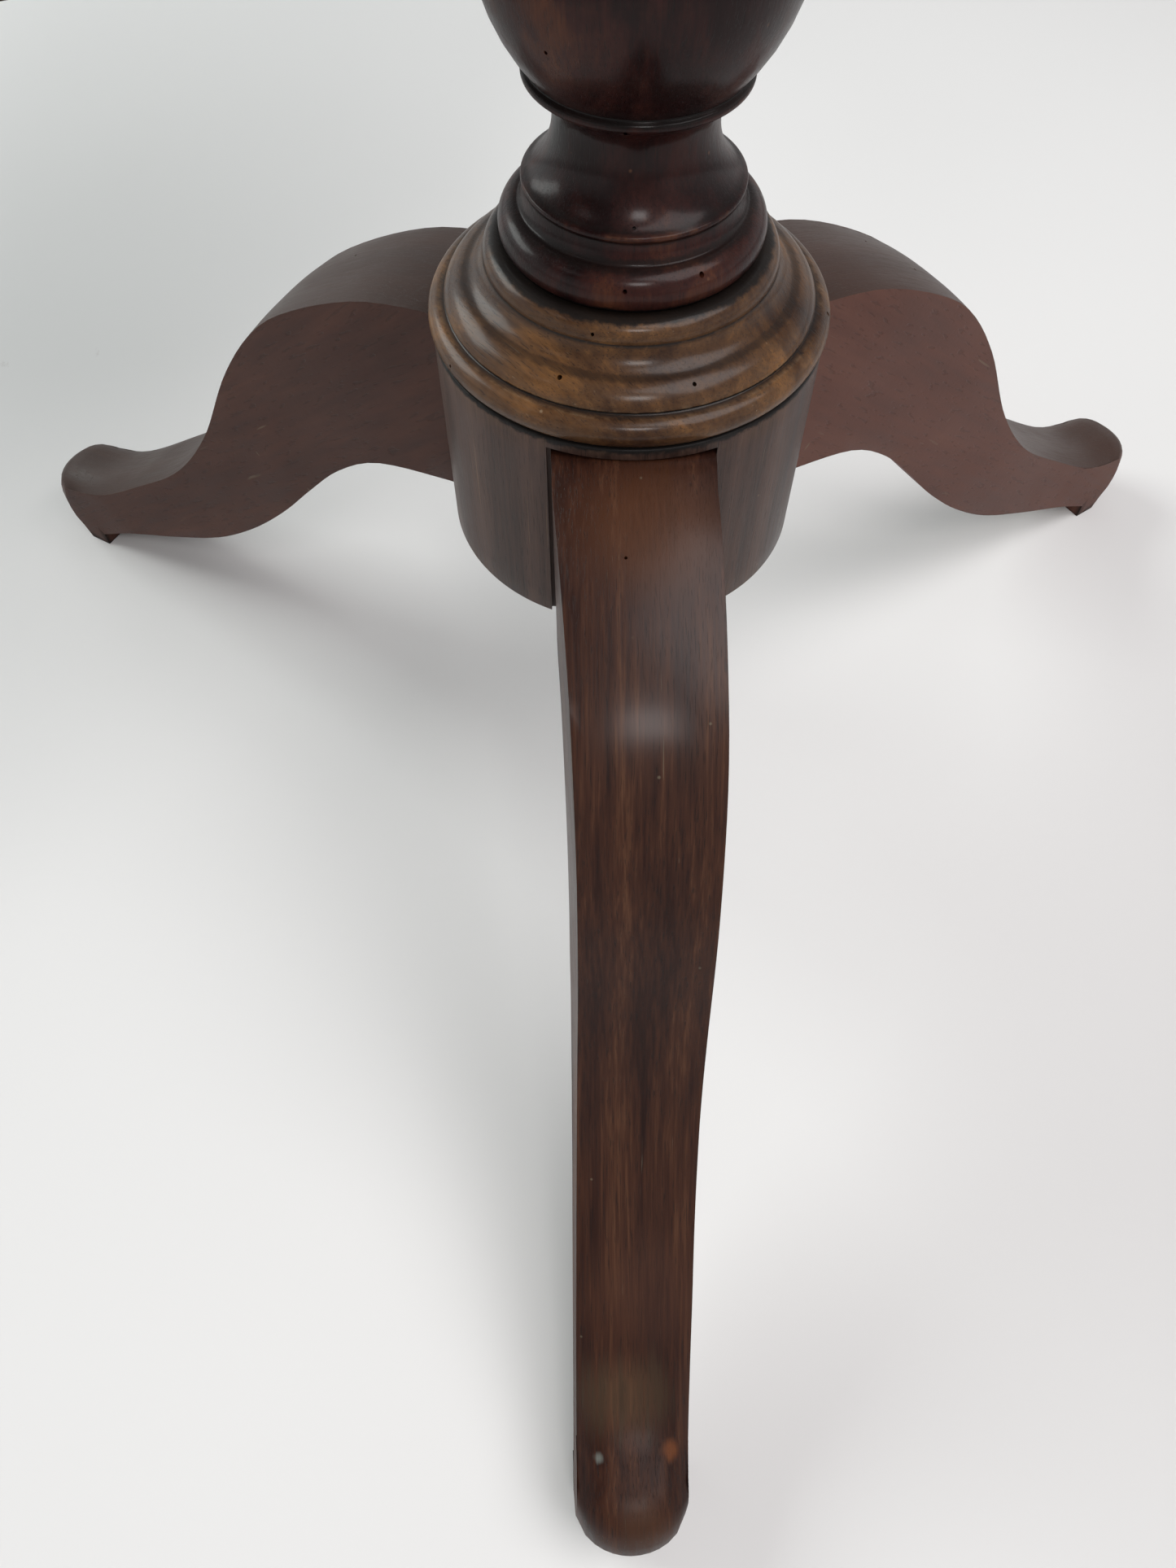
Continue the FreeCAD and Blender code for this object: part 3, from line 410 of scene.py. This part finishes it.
def applyModifier(piece, kind, **settings):
    only(piece)
    modifier = piece.modifiers.new(kind.lower(), kind)
    for key, value in settings.items():
        setattr(modifier, key, value)
    bpy.ops.object.modifier_apply(modifier=modifier.name)


def softenEdges(piece, width, segments=3, angle=35):
    applyModifier(piece, "BEVEL", width=width, segments=segments, limit_method="ANGLE",
                  angle_limit=math.radians(angle), use_clamp_overlap=True, harden_normals=False)


def smoothShade(piece, angle=32):
    only(piece)
    bpy.ops.object.shade_smooth_by_angle(angle=math.radians(angle))


def flattenShade(piece):
    # large flat faces keep flat shading beside their small rounded edges
    smoothShade(piece)
    applyModifier(piece, "WEIGHTED_NORMAL", mode="FACE_AREA", weight=50, keep_sharp=True)


def placeFirstPoint(point):
    # one loose point in the mesh being edited, to draw an outline from
    bpy.ops.mesh.primitive_plane_add(size=0.002, location=(0, 0, 0))
    bpy.ops.mesh.merge(type="CENTER")
    bpy.ops.transform.translate(value=point)


def drawOutline(points):
    placeFirstPoint(points[0])
    for before, after in zip(points, points[1:]):
        bpy.ops.mesh.extrude_vertices_move(TRANSFORM_OT_translate={"value": after - before})


def newPiece(name):
    bpy.ops.mesh.primitive_plane_add(size=0.002, location=(0, 0, 0))
    piece = bpy.context.object
    piece.name = name
    piece.data.name = name
    startEditing(piece)
    bpy.ops.mesh.select_all(action="SELECT")
    bpy.ops.mesh.delete(type="VERT")
    return piece


def arcPoints(start, end, radius, step=7):
    # points after start along an arc to end; a radius below zero is a hollow
    if not radius:
        return [end]
    chord = end - start
    size = abs(radius)
    outward = Vector((chord.z, 0, -chord.x)).normalized() * (1 if radius > 0 else -1)
    centre = (start + end) / 2 - outward * math.sqrt(max(size * size - chord.length_squared / 4, 0))
    turn = 2 * math.asin(min(1, chord.length / 2 / size))
    count = max(2, math.ceil(math.degrees(turn) / step))
    sign = -1 if radius > 0 else 1
    spokes = [Matrix.Rotation(sign * turn * i / count, 3, "Y") @ (start - centre) for i in range(1, count)]
    return [centre + spoke for spoke in spokes] + [end]


def turnedPiece(name, profile, steps=144):
    # profile: radius, height, curve of the run that follows, all in millimetres
    corners = [Vector((radius, 0, height)) * mm for radius, height, curve in profile]
    points = [corners[0]]
    for before, after, (_, _, curve) in zip(corners, corners[1:], profile):
        points += arcPoints(before, after, curve * mm)
    piece = newPiece(name)
    drawOutline(points)
    bpy.ops.mesh.select_all(action="SELECT")
    bpy.ops.mesh.spin(steps=steps, angle=2 * math.pi, center=(0, 0, 0), axis=(0, 0, 1))
    bpy.ops.mesh.select_all(action="SELECT")
    bpy.ops.mesh.remove_doubles(threshold=joinDistance)
    bpy.ops.mesh.normals_make_consistent(inside=False)
    stopEditing()
    return piece


def cutAway(piece, cutter):
    applyModifier(piece, "BOOLEAN", operation="DIFFERENCE", solver="EXACT", object=cutter)
    bpy.data.objects.remove(cutter)


def cutWormholes(piece, holes, radius=0.62):
    # holes: degrees round, height, radius of the surface, tilt; a beetle's flight holes are round and clean
    cutters = []
    for index, (around, height, surface, tilt) in enumerate(holes):
        size = radius * (0.8 + 0.2 * (index % 3))
        place = Matrix.Rotation(math.radians(around), 3, "Z") @ Vector((surface, 0, height)) * mm
        bpy.ops.mesh.primitive_cylinder_add(vertices=12, radius=size * mm, depth=7 * mm, location=place,
                                            rotation=(0, math.radians(90 - tilt), math.radians(around)))
        cutters.append(bpy.context.object)
    only(cutters[0])
    for cutter in cutters:
        cutter.select_set(True)
    bpy.ops.object.join()
    cutAway(piece, bpy.context.object)


def markWear(piece, faceLimit=7e-5, wornFrom=5):
    # edges that stand out are worn; corners that turn in are marked, and darken with dirt and painted shade
    # on wood and with tarnish on metal
    mesh = bmesh.new()
    mesh.from_mesh(piece.data)
    worn, hollowness = [], []
    for point in mesh.verts:
        out, into = 0.0, 0.0
        if all(face.calc_area() < faceLimit for face in point.link_faces):
            for edge in point.link_edges:
                bend = math.degrees(edge.calc_face_angle_signed(0))
                out, into = max(out, bend), max(into, -bend)
        worn.append(ramp(out, wornFrom, 20))
        hollowness.append(ramp(into, 5, 20))
    mesh.free()
    for key, values in (("worn", worn), ("hollowness", hollowness)):
        piece.data.attributes.new(key, "FLOAT", "POINT").data.foreach_set("value", values)


def finishPiece(piece, material, body, slot, *replaced):
    piece.data.materials.clear()
    piece.data.materials.append(material)
    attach(piece, body)
    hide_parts(*replaced)
    print("finished", piece.name)


# pillar

seat = round(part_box("collar")[1].z / mm - 0.2, 1)  # where the pillar stands on the collar
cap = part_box("block")[0].z / mm  # underside of the block

pillarShape = {
    "profile": [
        (0.0, seat - 100.5, 0), (17.0, seat - 100.5, 0), (17.0, seat, 0),
        (36.8, seat, 6.3), (34.0, seat + 11, 0), (33.0, seat + 11, -9.0), (31.2, seat + 16.6, 0),
        (31.9, seat + 17.2, 0), (31.9, seat + 18.4, 0), (30.4, seat + 19, -19.0), (22.8, seat + 36.5, -8.0),
        (28.8, seat + 43.6, 0), (30.1, seat + 44.6, 1.4), (30.1, seat + 46.8, 0), (29.3, seat + 47.4, 46.2),
        (34.6, seat + 104, -42.0), (21.0, seat + 136, 0), (22.4, seat + 138, 4.4), (22.4, seat + 146, 0),
        (21.4, seat + 148, 2400.0), (17.4, cap - 76, 0), (18.6, cap - 74, 4.1), (18.6, cap - 66.6, 0),
        (17.6, cap - 64.6, -62.0), (31.0, cap - 14, 0), (34.0, cap - 12, 6.6), (34.0, cap, 0),
        (16.0, cap, 0), (16.0, cap + 27.8, 0), (0.0, cap + 27.8, 0),
    ],
    "arris": 0.45,
    "wormholes": [(118, 297.0, 31.0, 35), (112, 320.6, 30.4, 0), (106, 301.5, 28.6, 30),
                  (92, 303.0, 28.0, 30), (115, 283.5, 39.0, 10), (148, 285.0, 38.4, 10),
                  (84, 340.0, 38.5, 0), (214, 352.0, 41.0, 0), (250, 300.0, 29.5, 30),
                  (320, 430.0, 21.6, 0), (30, 515.0, 19.4, 0), (196, 610.0, 18.0, 0)],
}

pillar = turnedPiece("turnedPillar", pillarShape["profile"])
softenEdges(pillar, pillarShape["arris"] * mm)
markWear(pillar)
cutWormholes(pillar, pillarShape["wormholes"])
smoothShade(pillar)
pillarWood = oldWood(
    "pillarPolish", turn=(0, 90, 0), seed=3.1, blotchSize=34.0, streak=0.35, coat=0.20, coatRough=0.18,
    rough=(0.34, 0.46), shine=0.1, black=(0.006, 0.0022, 0.0022), dark=(0.012, 0.0034, 0.0034),
    middle=(0.032, 0.0085, 0.0068), light=(0.095, 0.030, 0.012), wear=0.55, bare=(0.14, 0.060, 0.030),
    scratches=0.2,
    bands=[(0.2762, 0.0022, 1.0), (0.2875, 0.0016, 0.7), (0.2925, 0.0010, 0.6), (0.3228, 0.0012, 0.8),
           (0.4120, 0.0020, 0.8), (0.4235, 0.0015, 0.7), (0.5960, 0.0015, 0.7), (0.6070, 0.0015, 0.7),
           (0.6590, 0.0020, 0.8)])
finishPiece(pillar, pillarWood, "base", "pillar_wood", "pillar")


# collar

drumLow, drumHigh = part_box("drum")
deck = drumHigh.z / mm

collarShape = {
    "profile": [
        (17.1, deck, 0), (60.0, deck, 4.6), (58.8, deck + 8.5, 0), (57.2, deck + 8.6, 0),
        (56.6, deck + 8.9, 0), (57.0, deck + 9.5, 9.0), (49.5, deck + 15.5, -9.0),
        (44.0, deck + 21.5, 4.6), (38.2, deck + 27, 0), (17.1, deck + 27, 0), (17.1, deck, 0),
    ],
    "arris": 0.5,
    "wormholes": [(104, 271.5, 42.0, 40), (138, 262.5, 52.5, 40), (96, 263.0, 52.0, 45), (60, 254.0, 62.0, 5),
                  (200, 256.0, 62.0, 5), (292, 262.0, 53.0, 40)],
}


def makeCollar():
    collar = turnedPiece("collarRing", collarShape["profile"], steps=160)
    softenEdges(collar, collarShape["arris"] * mm)
    markWear(collar)
    cutWormholes(collar, collarShape["wormholes"])
    smoothShade(collar)
    wood = oldWood(
        "collarPolish", turn=(0, 0, 20), seed=7.7, blotchSize=42.0, streak=0.40, coat=0.28, coatRough=0.20,
        rough=(0.36, 0.52), shine=0.15, black=(0.020, 0.0085, 0.0045), dark=(0.042, 0.0180, 0.0080),
        middle=(0.088, 0.0400, 0.0150), light=(0.215, 0.094, 0.026), bare=(0.30, 0.23, 0.15), wear=0.45,
        scratches=0.5,
        bands=[(0.2488, 0.0008, 1.0), (0.2580, 0.0006, 0.95), (0.2645, 0.0006, 0.5), (0.2705, 0.0006, 0.4),
               (0.2762, 0.0012, 0.95)])
    finishPiece(collar, wood, "base", "collar_wood", "collar")


makeCollar()


# legs

# u is out from the pillar's axis along the leg and z up, in millimetres
legShape = {
    "crownLine": [(54, 245), (61.5, 245), (89.9, 238.6), (121, 223.7), (143.7, 207), (167.8, 177.9),
                  (195.3, 133.3), (224.5, 99), (257.1, 75.0), (299.6, 49.5), (334, 42)],
    "noseLine": [(338.6, 38.6), (341.9, 33.6), (343.9, 27.6), (344.5, 21), (343.7, 15), (338.2, 7), (333, 0)],
    "underLine": [(54, 171.5), (61.5, 170.5), (95.5, 162.8), (118.2, 148), (138, 127.5), (160.7, 102.3),
                  (186.2, 78.3), (214.6, 57.5), (248.6, 40.1), (288.3, 21.8), (314, 8)],
    "stations": 46,
    "columns": 12,
    "halfWidth": 25.80,  # at the axis; it tapers by taper for each metre
    "taper": 1.0097,
    "crown": 1.9,  # fall from the crown to the arris
    "footCrown": 6.5,
    "noseRound": 14.0,
    "toeSpread": 0.075,
    "crownFrom": 62.0,  # where, and over what length, each change along the leg takes place
    "footRamp": (215, 110),
    "tipRamp": (330, 12),
    "spreadRamp": (217, 117),
    "roundRamp": (316, 26),
    "noseFoot": 13.0,
    "arris": 1.5,
    "sharpArris": 0.5,
    "handWork": 0.45,
}

tailShape = {"neck": 12.0, "end": 16.5, "root": 37.6, "face": 54.0, "low": 171.6, "high": 231.0}

legs = {
    "hingeSideLeg": ("hinge_side_leg", 0.8),
    "leftLeg": ("left_leg", 120.0),
    "rightLeg": ("right_leg", -117.5),
}

leanShape = {
    "leanRamp": (70, 120),
    "level": 68.0,  # height that the lean leaves in place
    "lean": 0.04,
    "short": 5.0,
    "shortRamp": (290, 24),
}


def smoothLine(corners, count):
    # evenly spaced points on a smooth line through the corners
    corners = [Vector((u, 0, z)) * mm for u, z in corners]
    ends = [corners[0] * 2 - corners[1], *corners, corners[-1] * 2 - corners[-2]]
    fine = []
    for a, b, c, d in zip(ends, ends[1:], ends[2:], ends[3:]):
        for i in range(24):
            t = i / 24
            fine.append(b * 1.0 + (c - a) * 0.5 * t + (a * 2 - b * 5 + c * 4 - d) * 0.5 * t * t
                        + (b * 3 - a - c * 3 + d) * 0.5 * t ** 3)
    fine.append(corners[-1])
    lengths = [0.0]
    for before, after in zip(fine, fine[1:]):
        lengths.append(lengths[-1] + (after - before).length)
    line, index = [], 0
    for i in range(count):
        goal = lengths[-1] * i / (count - 1)
        while index < len(fine) - 2 and lengths[index + 1] < goal:
            index += 1
        share = (goal - lengths[index]) / (lengths[index + 1] - lengths[index])
        line.append(fine[index].lerp(fine[index + 1], share))
    return line


def makeTail(grow=0.0):
    # the dovetail, widening towards the pillar's axis
    shape = tailShape
    long = (shape["face"] - shape["root"]) * mm
    tall = (shape["high"] - shape["low"]) * mm
    middle = (shape["root"] * mm + long / 2, 0, shape["low"] * mm + tall / 2)
    extent = (long + grow * 2, (shape["neck"] + grow / mm) * 2 * mm, tall + grow)
    bpy.ops.mesh.primitive_cube_add(size=1, location=middle, scale=extent)
    tail = bpy.context.object
    only(tail)
    bpy.ops.object.transform_apply(location=True, rotation=True, scale=True)
    startEditing(tail)
    pickPoints(tail, lambda co: co.x < (shape["root"] + 5) * mm)
    bpy.ops.transform.resize(value=(1, shape["end"] / shape["neck"], 1), center_override=(0, 0, 0))
    stopEditing()
    return tail


def makeLeg():
    shape = legShape
    width = shape["halfWidth"] * mm
    crown = smoothLine(shape["crownLine"], shape["stations"])
    under = smoothLine(shape["underLine"], shape["stations"])
    crown += [Vector((u, 0, z)) * mm for u, z in shape["noseLine"]]
    heel = len(shape["noseLine"])
    under += [Vector((314 * mm, 0, 8 * mm * (1 - i / heel))) for i in range(1, heel + 1)]
    side = Vector((0, -width, 0))
    leg = newPiece("legBlank")
    drawOutline([point + side for point in crown])
    bpy.ops.mesh.select_all(action="DESELECT")
    drawOutline([point + side for point in under])
    bpy.ops.mesh.select_all(action="SELECT")
    bpy.ops.mesh.select_mode(type="EDGE")
    bpy.ops.mesh.select_all(action="SELECT")
    bpy.ops.mesh.bridge_edge_loops(number_cuts=5, interpolation="LINEAR", smoothness=0)
    bpy.ops.mesh.select_all(action="SELECT")
    bpy.ops.mesh.extrude_region_move(TRANSFORM_OT_translate={"value": (0, width * 2, 0)})
    pickEdges(leg, lambda a, b: abs(a.y - b.y) > width)
    bpy.ops.mesh.subdivide(number_cuts=shape["columns"] - 1)
    bpy.ops.mesh.select_all(action="SELECT")
    bpy.ops.mesh.remove_doubles(threshold=joinDistance)
    bpy.ops.mesh.normals_make_consistent(inside=False)
    stopEditing()

    # the top is worked to a crown, round over the foot, and the toe is rounded
    topPoints = {(round(p.x, 5), round(p.z, 5)) for p in crown}
    arris = leg.vertex_groups.new(name="arris")
    group = []
    for point in leg.data.vertices:
        across = point.co.y / width
        along = point.co.x / mm
        if (round(point.co.x, 5), round(point.co.z, 5)) in topPoints and point.co.z > shape["noseFoot"] * mm:
            foot = ramp(along, *shape["footRamp"])
            fall = shape["crown"] + (shape["footCrown"] - shape["crown"]) * foot * foot
            tip = ramp(along, *shape["tipRamp"])
            if abs(across) > 0.999 and along > shape["crownFrom"]:
                group.append(point.index)
            point.co.z -= fall * mm * abs(across) ** (2.2 + 1.2 * foot) * (1 - 0.75 * tip)
        point.co.y *= 1 + shape["toeSpread"] * ramp(along, *shape["spreadRamp"])
        out = ramp(along, *shape["roundRamp"])
        swing = 1 - math.sqrt(max(0, 1 - (0.985 * across) ** 2))
        point.co.x -= shape["noseRound"] * mm * out ** 1.3 * swing
    arris.add(group, 1.0, "REPLACE")
    long = max(p.co.x for p in leg.data.vertices) - min(p.co.x for p in leg.data.vertices)
    applyModifier(leg, "SIMPLE_DEFORM", deform_method="TAPER", deform_axis="X", lock_z=True,
                  factor=-shape["taper"] * long)
    applyModifier(leg, "BEVEL", width=shape["arris"] * mm, segments=4, limit_method="VGROUP",
                  vertex_group="arris")
    softenEdges(leg, shape["sharpArris"] * mm, 2, 45)
    worked = bpy.data.textures.new("handWork", "CLOUDS")
    worked.noise_scale = 0.045
    worked.noise_depth = 1
    applyModifier(leg, "DISPLACE", texture=worked, strength=shape["handWork"] * mm, mid_level=0.6,
                  texture_coords="LOCAL")
    return leg


# local places are u, across, z in metres, before the leg is turned to its own angle
legMarks = {
    "leftLeg": [((0.082, 0.004, 0.240), 0.026, (0.105, 0.038, 0.014), 0.45),
                ((0.292, -0.004, 0.050), 0.018, (0.120, 0.080, 0.044), 0.28),
                ((0.309, 0.012, 0.045), 0.0042, (0.17, 0.055, 0.018), 0.65),
                ((0.311, -0.013, 0.045), 0.0024, (0.20, 0.22, 0.20), 0.65),
                ((0.330, 0.002, 0.038), 0.012, (0.090, 0.042, 0.022), 0.4),
                ((0.262, 0.004, 0.070), 0.024, (0.090, 0.040, 0.026), 0.25)],
    "rightLeg": [((0.20, 0.016, 0.110), 0.040, (0.13, 0.060, 0.040), 0.35)],
    "hingeSideLeg": [((0.12, -0.02, 0.200), 0.040, (0.105, 0.052, 0.040), 0.35)],
}

legWormholes = {
    "leftLeg": [(118, 238.2, 92, 75)],
    "rightLeg": [(-113, 228.0, 111, 70), (-121, 222.0, 122, 65)],
    "hingeSideLeg": [(-3, 226.0, 113, 70), (6, 180.0, 166, 40)],
}


# the back legs' lighter tones are painted light on their side faces, and their darkened tops are painted
# shade
legTonesAndPaintedLight = {
    "leftLeg": {
        "coat": 0.24, "black": (0.013, 0.0045, 0.0030), "dark": (0.024, 0.0080, 0.0050),
        "middle": (0.047, 0.0168, 0.0088), "light": (0.105, 0.045, 0.022)},
    "rightLeg": {
        "coat": 0.04, "pores": 0.2, "paintedTopShade": 0.75, "black": (0.066, 0.0260, 0.0185),
        "dark": (0.084, 0.0335, 0.0240), "middle": (0.104, 0.0425, 0.0305), "light": (0.125, 0.054, 0.038)},
    "hingeSideLeg": {
        "coat": 0.04, "pores": 0.25, "paintedTopShade": 0.65, "black": (0.038, 0.0145, 0.0100),
        "dark": (0.050, 0.0195, 0.0135), "middle": (0.066, 0.0265, 0.0180), "light": (0.088, 0.038, 0.026)},
}


def leanLeg(leg):
    # this leg is set a little out of upright and its toe is shorter
    shape = leanShape
    for point in leg.data.vertices:
        u, z = point.co.x / mm, point.co.z / mm
        point.co.y += shape["lean"] * (z - shape["level"]) * mm * ramp(u, *shape["leanRamp"])
        point.co.x -= shape["short"] * mm * ramp(u, *shape["shortRamp"])


def makeLegs():
    blank = makeLeg()
    for index, (name, (node, angle)) in enumerate(legs.items()):
        leg = blank.copy()
        leg.data = blank.data.copy()
        leg.name = leg.data.name = name
        bpy.context.scene.collection.objects.link(leg)
        if name == "leftLeg":
            leanLeg(leg)
        leg.rotation_euler = (0, 0, math.radians(angle))
        only(leg)
        bpy.ops.object.transform_apply(location=False, rotation=True, scale=False)
        markWear(leg, faceLimit=1.2e-5, wornFrom=10)
        cutWormholes(leg, legWormholes[name])
        tail = makeTail()
        tail.rotation_euler = (0, 0, math.radians(angle))
        bpy.ops.object.transform_apply(location=False, rotation=True, scale=False)
        only(leg)
        tail.select_set(True)
        bpy.ops.object.join()
        smoothShade(leg)
        turn = Matrix.Rotation(math.radians(angle), 3, "Z")
        marks = [(tuple(turn @ Vector(place)), *mark) for place, *mark in legMarks[name]]
        wood = oldWood(
            name + "Polish", turn=(0, 0, -angle), seed=1.3 + 2.1 * index, streak=0.85, patches=marks,
            slope=-38.0, flat=0.3, blotchSize=16.0, coatRough=0.24, rough=(0.40, 0.54), shine=0.15,
            bare=(0.18, 0.15, 0.10), wear=1.3, bands=[(0.2475, 0.0020, 1.0)], **legTonesAndPaintedLight[name])
        finishPiece(leg, wood, "base", "leg_wood", node)
    bpy.data.objects.remove(blank)


makeLegs()
print("legs made")


# drum

drumShape = {
    "facets": 192,
    "arris": 0.6,
    "shrunk": 1.5,  # gap that has opened on one side of the left leg
    "fit": 0.2,
    "legInset": 1.6,  # how much narrower the leg is at the drum than at the axis
    "housingMiddle": 66.95,
    "housingLong": 26.0,
    "housingTop": 245.4,
    "below": 10.0,
    "tailFit": 0.15,
    "rings": 7,
}


def makeDrum():
    radius = drumHigh.x
    low, high = drumLow.z, drumHigh.z
    bpy.ops.mesh.primitive_cylinder_add(vertices=drumShape["facets"], radius=radius, depth=high - low,
                                        location=(0, 0, (high + low) / 2))
    drum = bpy.context.object
    drum.name = drum.data.name = "drumBlock"
    only(drum)
    bpy.ops.object.transform_apply(location=True, rotation=True, scale=True)
    startEditing(drum, "EDGE")
    pickEdges(drum, lambda a, b: abs(a.z - b.z) > 0.01)
    bpy.ops.mesh.subdivide(number_cuts=drumShape["rings"])
    stopEditing()
    softenEdges(drum, drumShape["arris"] * mm)
    half = legShape["halfWidth"] - drumShape["legInset"]
    bottom, top = low / mm - drumShape["below"], drumShape["housingTop"]
    for name, (node, angle) in legs.items():
        tight = drumShape["fit"]
        loose = drumShape["shrunk"] if name == "leftLeg" else tight
        middle = Vector((drumShape["housingMiddle"], (tight - loose) / 2, (top + bottom) / 2)) * mm
        extent = Vector((drumShape["housingLong"], half * 2 + loose + tight, top - bottom)) * mm
        bpy.ops.mesh.primitive_cube_add(size=1, location=middle, scale=extent)
        housing = bpy.context.object
        tail = makeTail(drumShape["tailFit"] * mm)
        for cutter in (housing, tail):
            cutter.matrix_world = Matrix.Rotation(math.radians(angle), 4, "Z") @ cutter.matrix_world
            cutAway(drum, cutter)
    markWear(drum)
    smoothShade(drum)
    wood = oldWood(
        "drumPolish", turn=(0, 90, 0), seed=11.9, streak=0.75, blotchSize=22.0, coat=0.08, coatRough=0.3,
        rough=(0.38, 0.52), shine=0.25, dark=(0.034, 0.0175, 0.0130), middle=(0.058, 0.031, 0.0235),
        light=(0.086, 0.048, 0.036), wear=0.35, bands=[(high, 0.0022, 1.0)])
    finishPiece(drum, wood, "base", "drum_wood", "drum")


makeDrum()


# block, bearers and catch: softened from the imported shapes

def softenedCopy(name, node, width, segments=3, angle=40):
    piece = nodes[node].copy()
    piece.data = nodes[node].data.copy()
    piece.name = piece.data.name = name
    for key in list(piece.keys()):
        del piece[key]
    piece.parent = None
    bpy.context.scene.collection.objects.link(piece)
    only(piece)
    bpy.ops.mesh.customdata_custom_splitnormals_clear()
    startEditing(piece)
    bpy.ops.mesh.select_all(action="SELECT")
    bpy.ops.mesh.remove_doubles(threshold=2e-6)
    bpy.ops.mesh.select_all(action="SELECT")
    bpy.ops.mesh.dissolve_limited(angle_limit=math.radians(1))
    stopEditing()
    softenEdges(piece, width * mm, segments, angle)
    markWear(piece)
    flattenShade(piece)
    return piece


underWood = oldWood("blockWood", turn=(0, 0, 90), seed=19.0, streak=0.7, blotchSize=14.0, coat=0.0,
                    rough=(0.50, 0.68), dark=(0.030, 0.014, 0.009), middle=(0.058, 0.028, 0.017),
                    light=(0.095, 0.050, 0.029), scratches=0.5, wear=0.4)
bearerWood = oldWood("bearerWood", turn=(0, 90, 0), seed=23.0, streak=0.75, blotchSize=12.0, coat=0.0,
                     rough=(0.50, 0.68), dark=(0.034, 0.016, 0.010), middle=(0.064, 0.031, 0.018),
                     light=(0.105, 0.056, 0.032), scratches=0.5, wear=0.4)
brass = oldMetal("brassAged", (0.46, 0.31, 0.11), (0.13, 0.085, 0.035), (0.28, 0.55))
steel = oldMetal("steelAged", (0.22, 0.20, 0.18), (0.060, 0.036, 0.024), (0.35, 0.70), 160.0)
iron = oldMetal("ironBlack", (0.060, 0.055, 0.052), (0.050, 0.028, 0.019), (0.45, 0.78), 70.0)

finishPiece(softenedCopy("pivotBlock", "block", 1.0), underWood, "base", "block_wood", "block")
finishPiece(softenedCopy("bearerLeft", "left_bearer", 0.9), bearerWood, "top", "bearer_wood",
            "left_bearer")
finishPiece(softenedCopy("bearerRight", "right_bearer", 0.9), bearerWood, "top", "bearer_wood",
            "right_bearer")
finishPiece(softenedCopy("catchPlate", "bolt_plate", 0.25, 2), brass, "top", "brass", "bolt_plate")
finishPiece(softenedCopy("catchGuides", "bolt_guides", 0.3, 2), brass, "top", "brass", "bolt_guides")
finishPiece(softenedCopy("catchBolt", "bolt_bar", 0.4, 2), brass, "bolt", "brass", "bolt_bar")
finishPiece(softenedCopy("strikePlate", "keeper_plate", 0.25, 2), brass, "base", "brass", "keeper_plate")


# top: three boards

topShape = {
    "facets": 288,
    "faceRound": 6.0,
    "bevelBack": 14.0,  # the underside is bevelled to make the edge look thin
    "bevelUp": 5.0,
    "jointArris": 0.25,
    "boards": {  # node, seed and middle tone of each board
        "lowerBoard": ("lower_top_board", 31.0, (0.036, 0.014, 0.0095)),
        "middleBoard": ("middle_top_board", 37.0, (0.041, 0.016, 0.011)),
        "upperBoard": ("upper_top_board", 43.0, (0.038, 0.015, 0.0100)),
    },
}


def makeTop():
    low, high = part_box("middle_top_board")
    bottom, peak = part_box("lower_top_board")[0].z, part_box("upper_top_board")[1].z
    centre = (bottom + peak) / 2
    rim, thick = (peak - bottom) / 2 / mm, (high.x - low.x) / mm
    faceRound, back, rise = topShape["faceRound"], topShape["bevelBack"], topShape["bevelUp"]
    profile = [(0, 0, 0), (rim - back, 0, 0), (rim, rise, 0), (rim, thick - faceRound, faceRound),
               (rim - faceRound, thick, 0), (0, thick, 0)]
    disc = turnedPiece("disc", profile, topShape["facets"])
    disc.matrix_world = Matrix.Translation((low.x, 0, centre)) @ Matrix.Rotation(math.radians(90), 4, "Y")
    only(disc)
    bpy.ops.object.transform_apply(location=True, rotation=True, scale=True)
    for name, (node, seed, middle) in topShape["boards"].items():
        board = disc.copy()
        board.data = disc.data.copy()
        board.name = board.data.name = name
        bpy.context.scene.collection.objects.link(board)
        startEditing(board)
        for level, up in ((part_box(node)[0].z, False), (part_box(node)[1].z, True)):
            if abs(level - bottom) < 0.001 or abs(level - peak) < 0.001:
                continue
            bpy.ops.mesh.select_all(action="SELECT")
            bpy.ops.mesh.bisect(plane_co=(0, 0, level), plane_no=(0, 0, 1), use_fill=True, clear_inner=not up,
                                clear_outer=up)
        stopEditing()
        softenEdges(board, topShape["jointArris"] * mm, 2, 60)
        markWear(board)
        flattenShade(board)
        polish = oldWood(name + "Polish", turn=(0, 0, 90), seed=seed, streak=0.72, blotchSize=7.0, coat=0.4,
                         coatRough=0.12, rough=(0.26, 0.38), middle=middle, light=(0.075, 0.031, 0.018),
                         scratches=0.3, specks=0.25, wear=0.5)
        finishPiece(board, polish, "top", "top_wood", node)
    bpy.data.objects.remove(disc)


makeTop()


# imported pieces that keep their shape

wedgeWood = oldWood("wedgeWood", turn=(0, 90, 0), seed=29.0, streak=0.8, coat=0.0, rough=(0.5, 0.7),
                    middle=(0.075, 0.038, 0.020), light=(0.13, 0.075, 0.040))
keptFinishes = {
    "tenon_wedge": wedgeWood, "spider_plate": iron, "spider_screws": steel, "left_pivot_pin": steel,
    "right_pivot_pin": steel, "bearer_screws": steel, "keeper_screws": brass, "bolt_screws": brass,
    "bolt_knob": brass,
}
for nodeName, finish in keptFinishes.items():
    for materialSlot in nodes[nodeName].material_slots:
        materialSlot.material = finish
print("packed pieces finished")
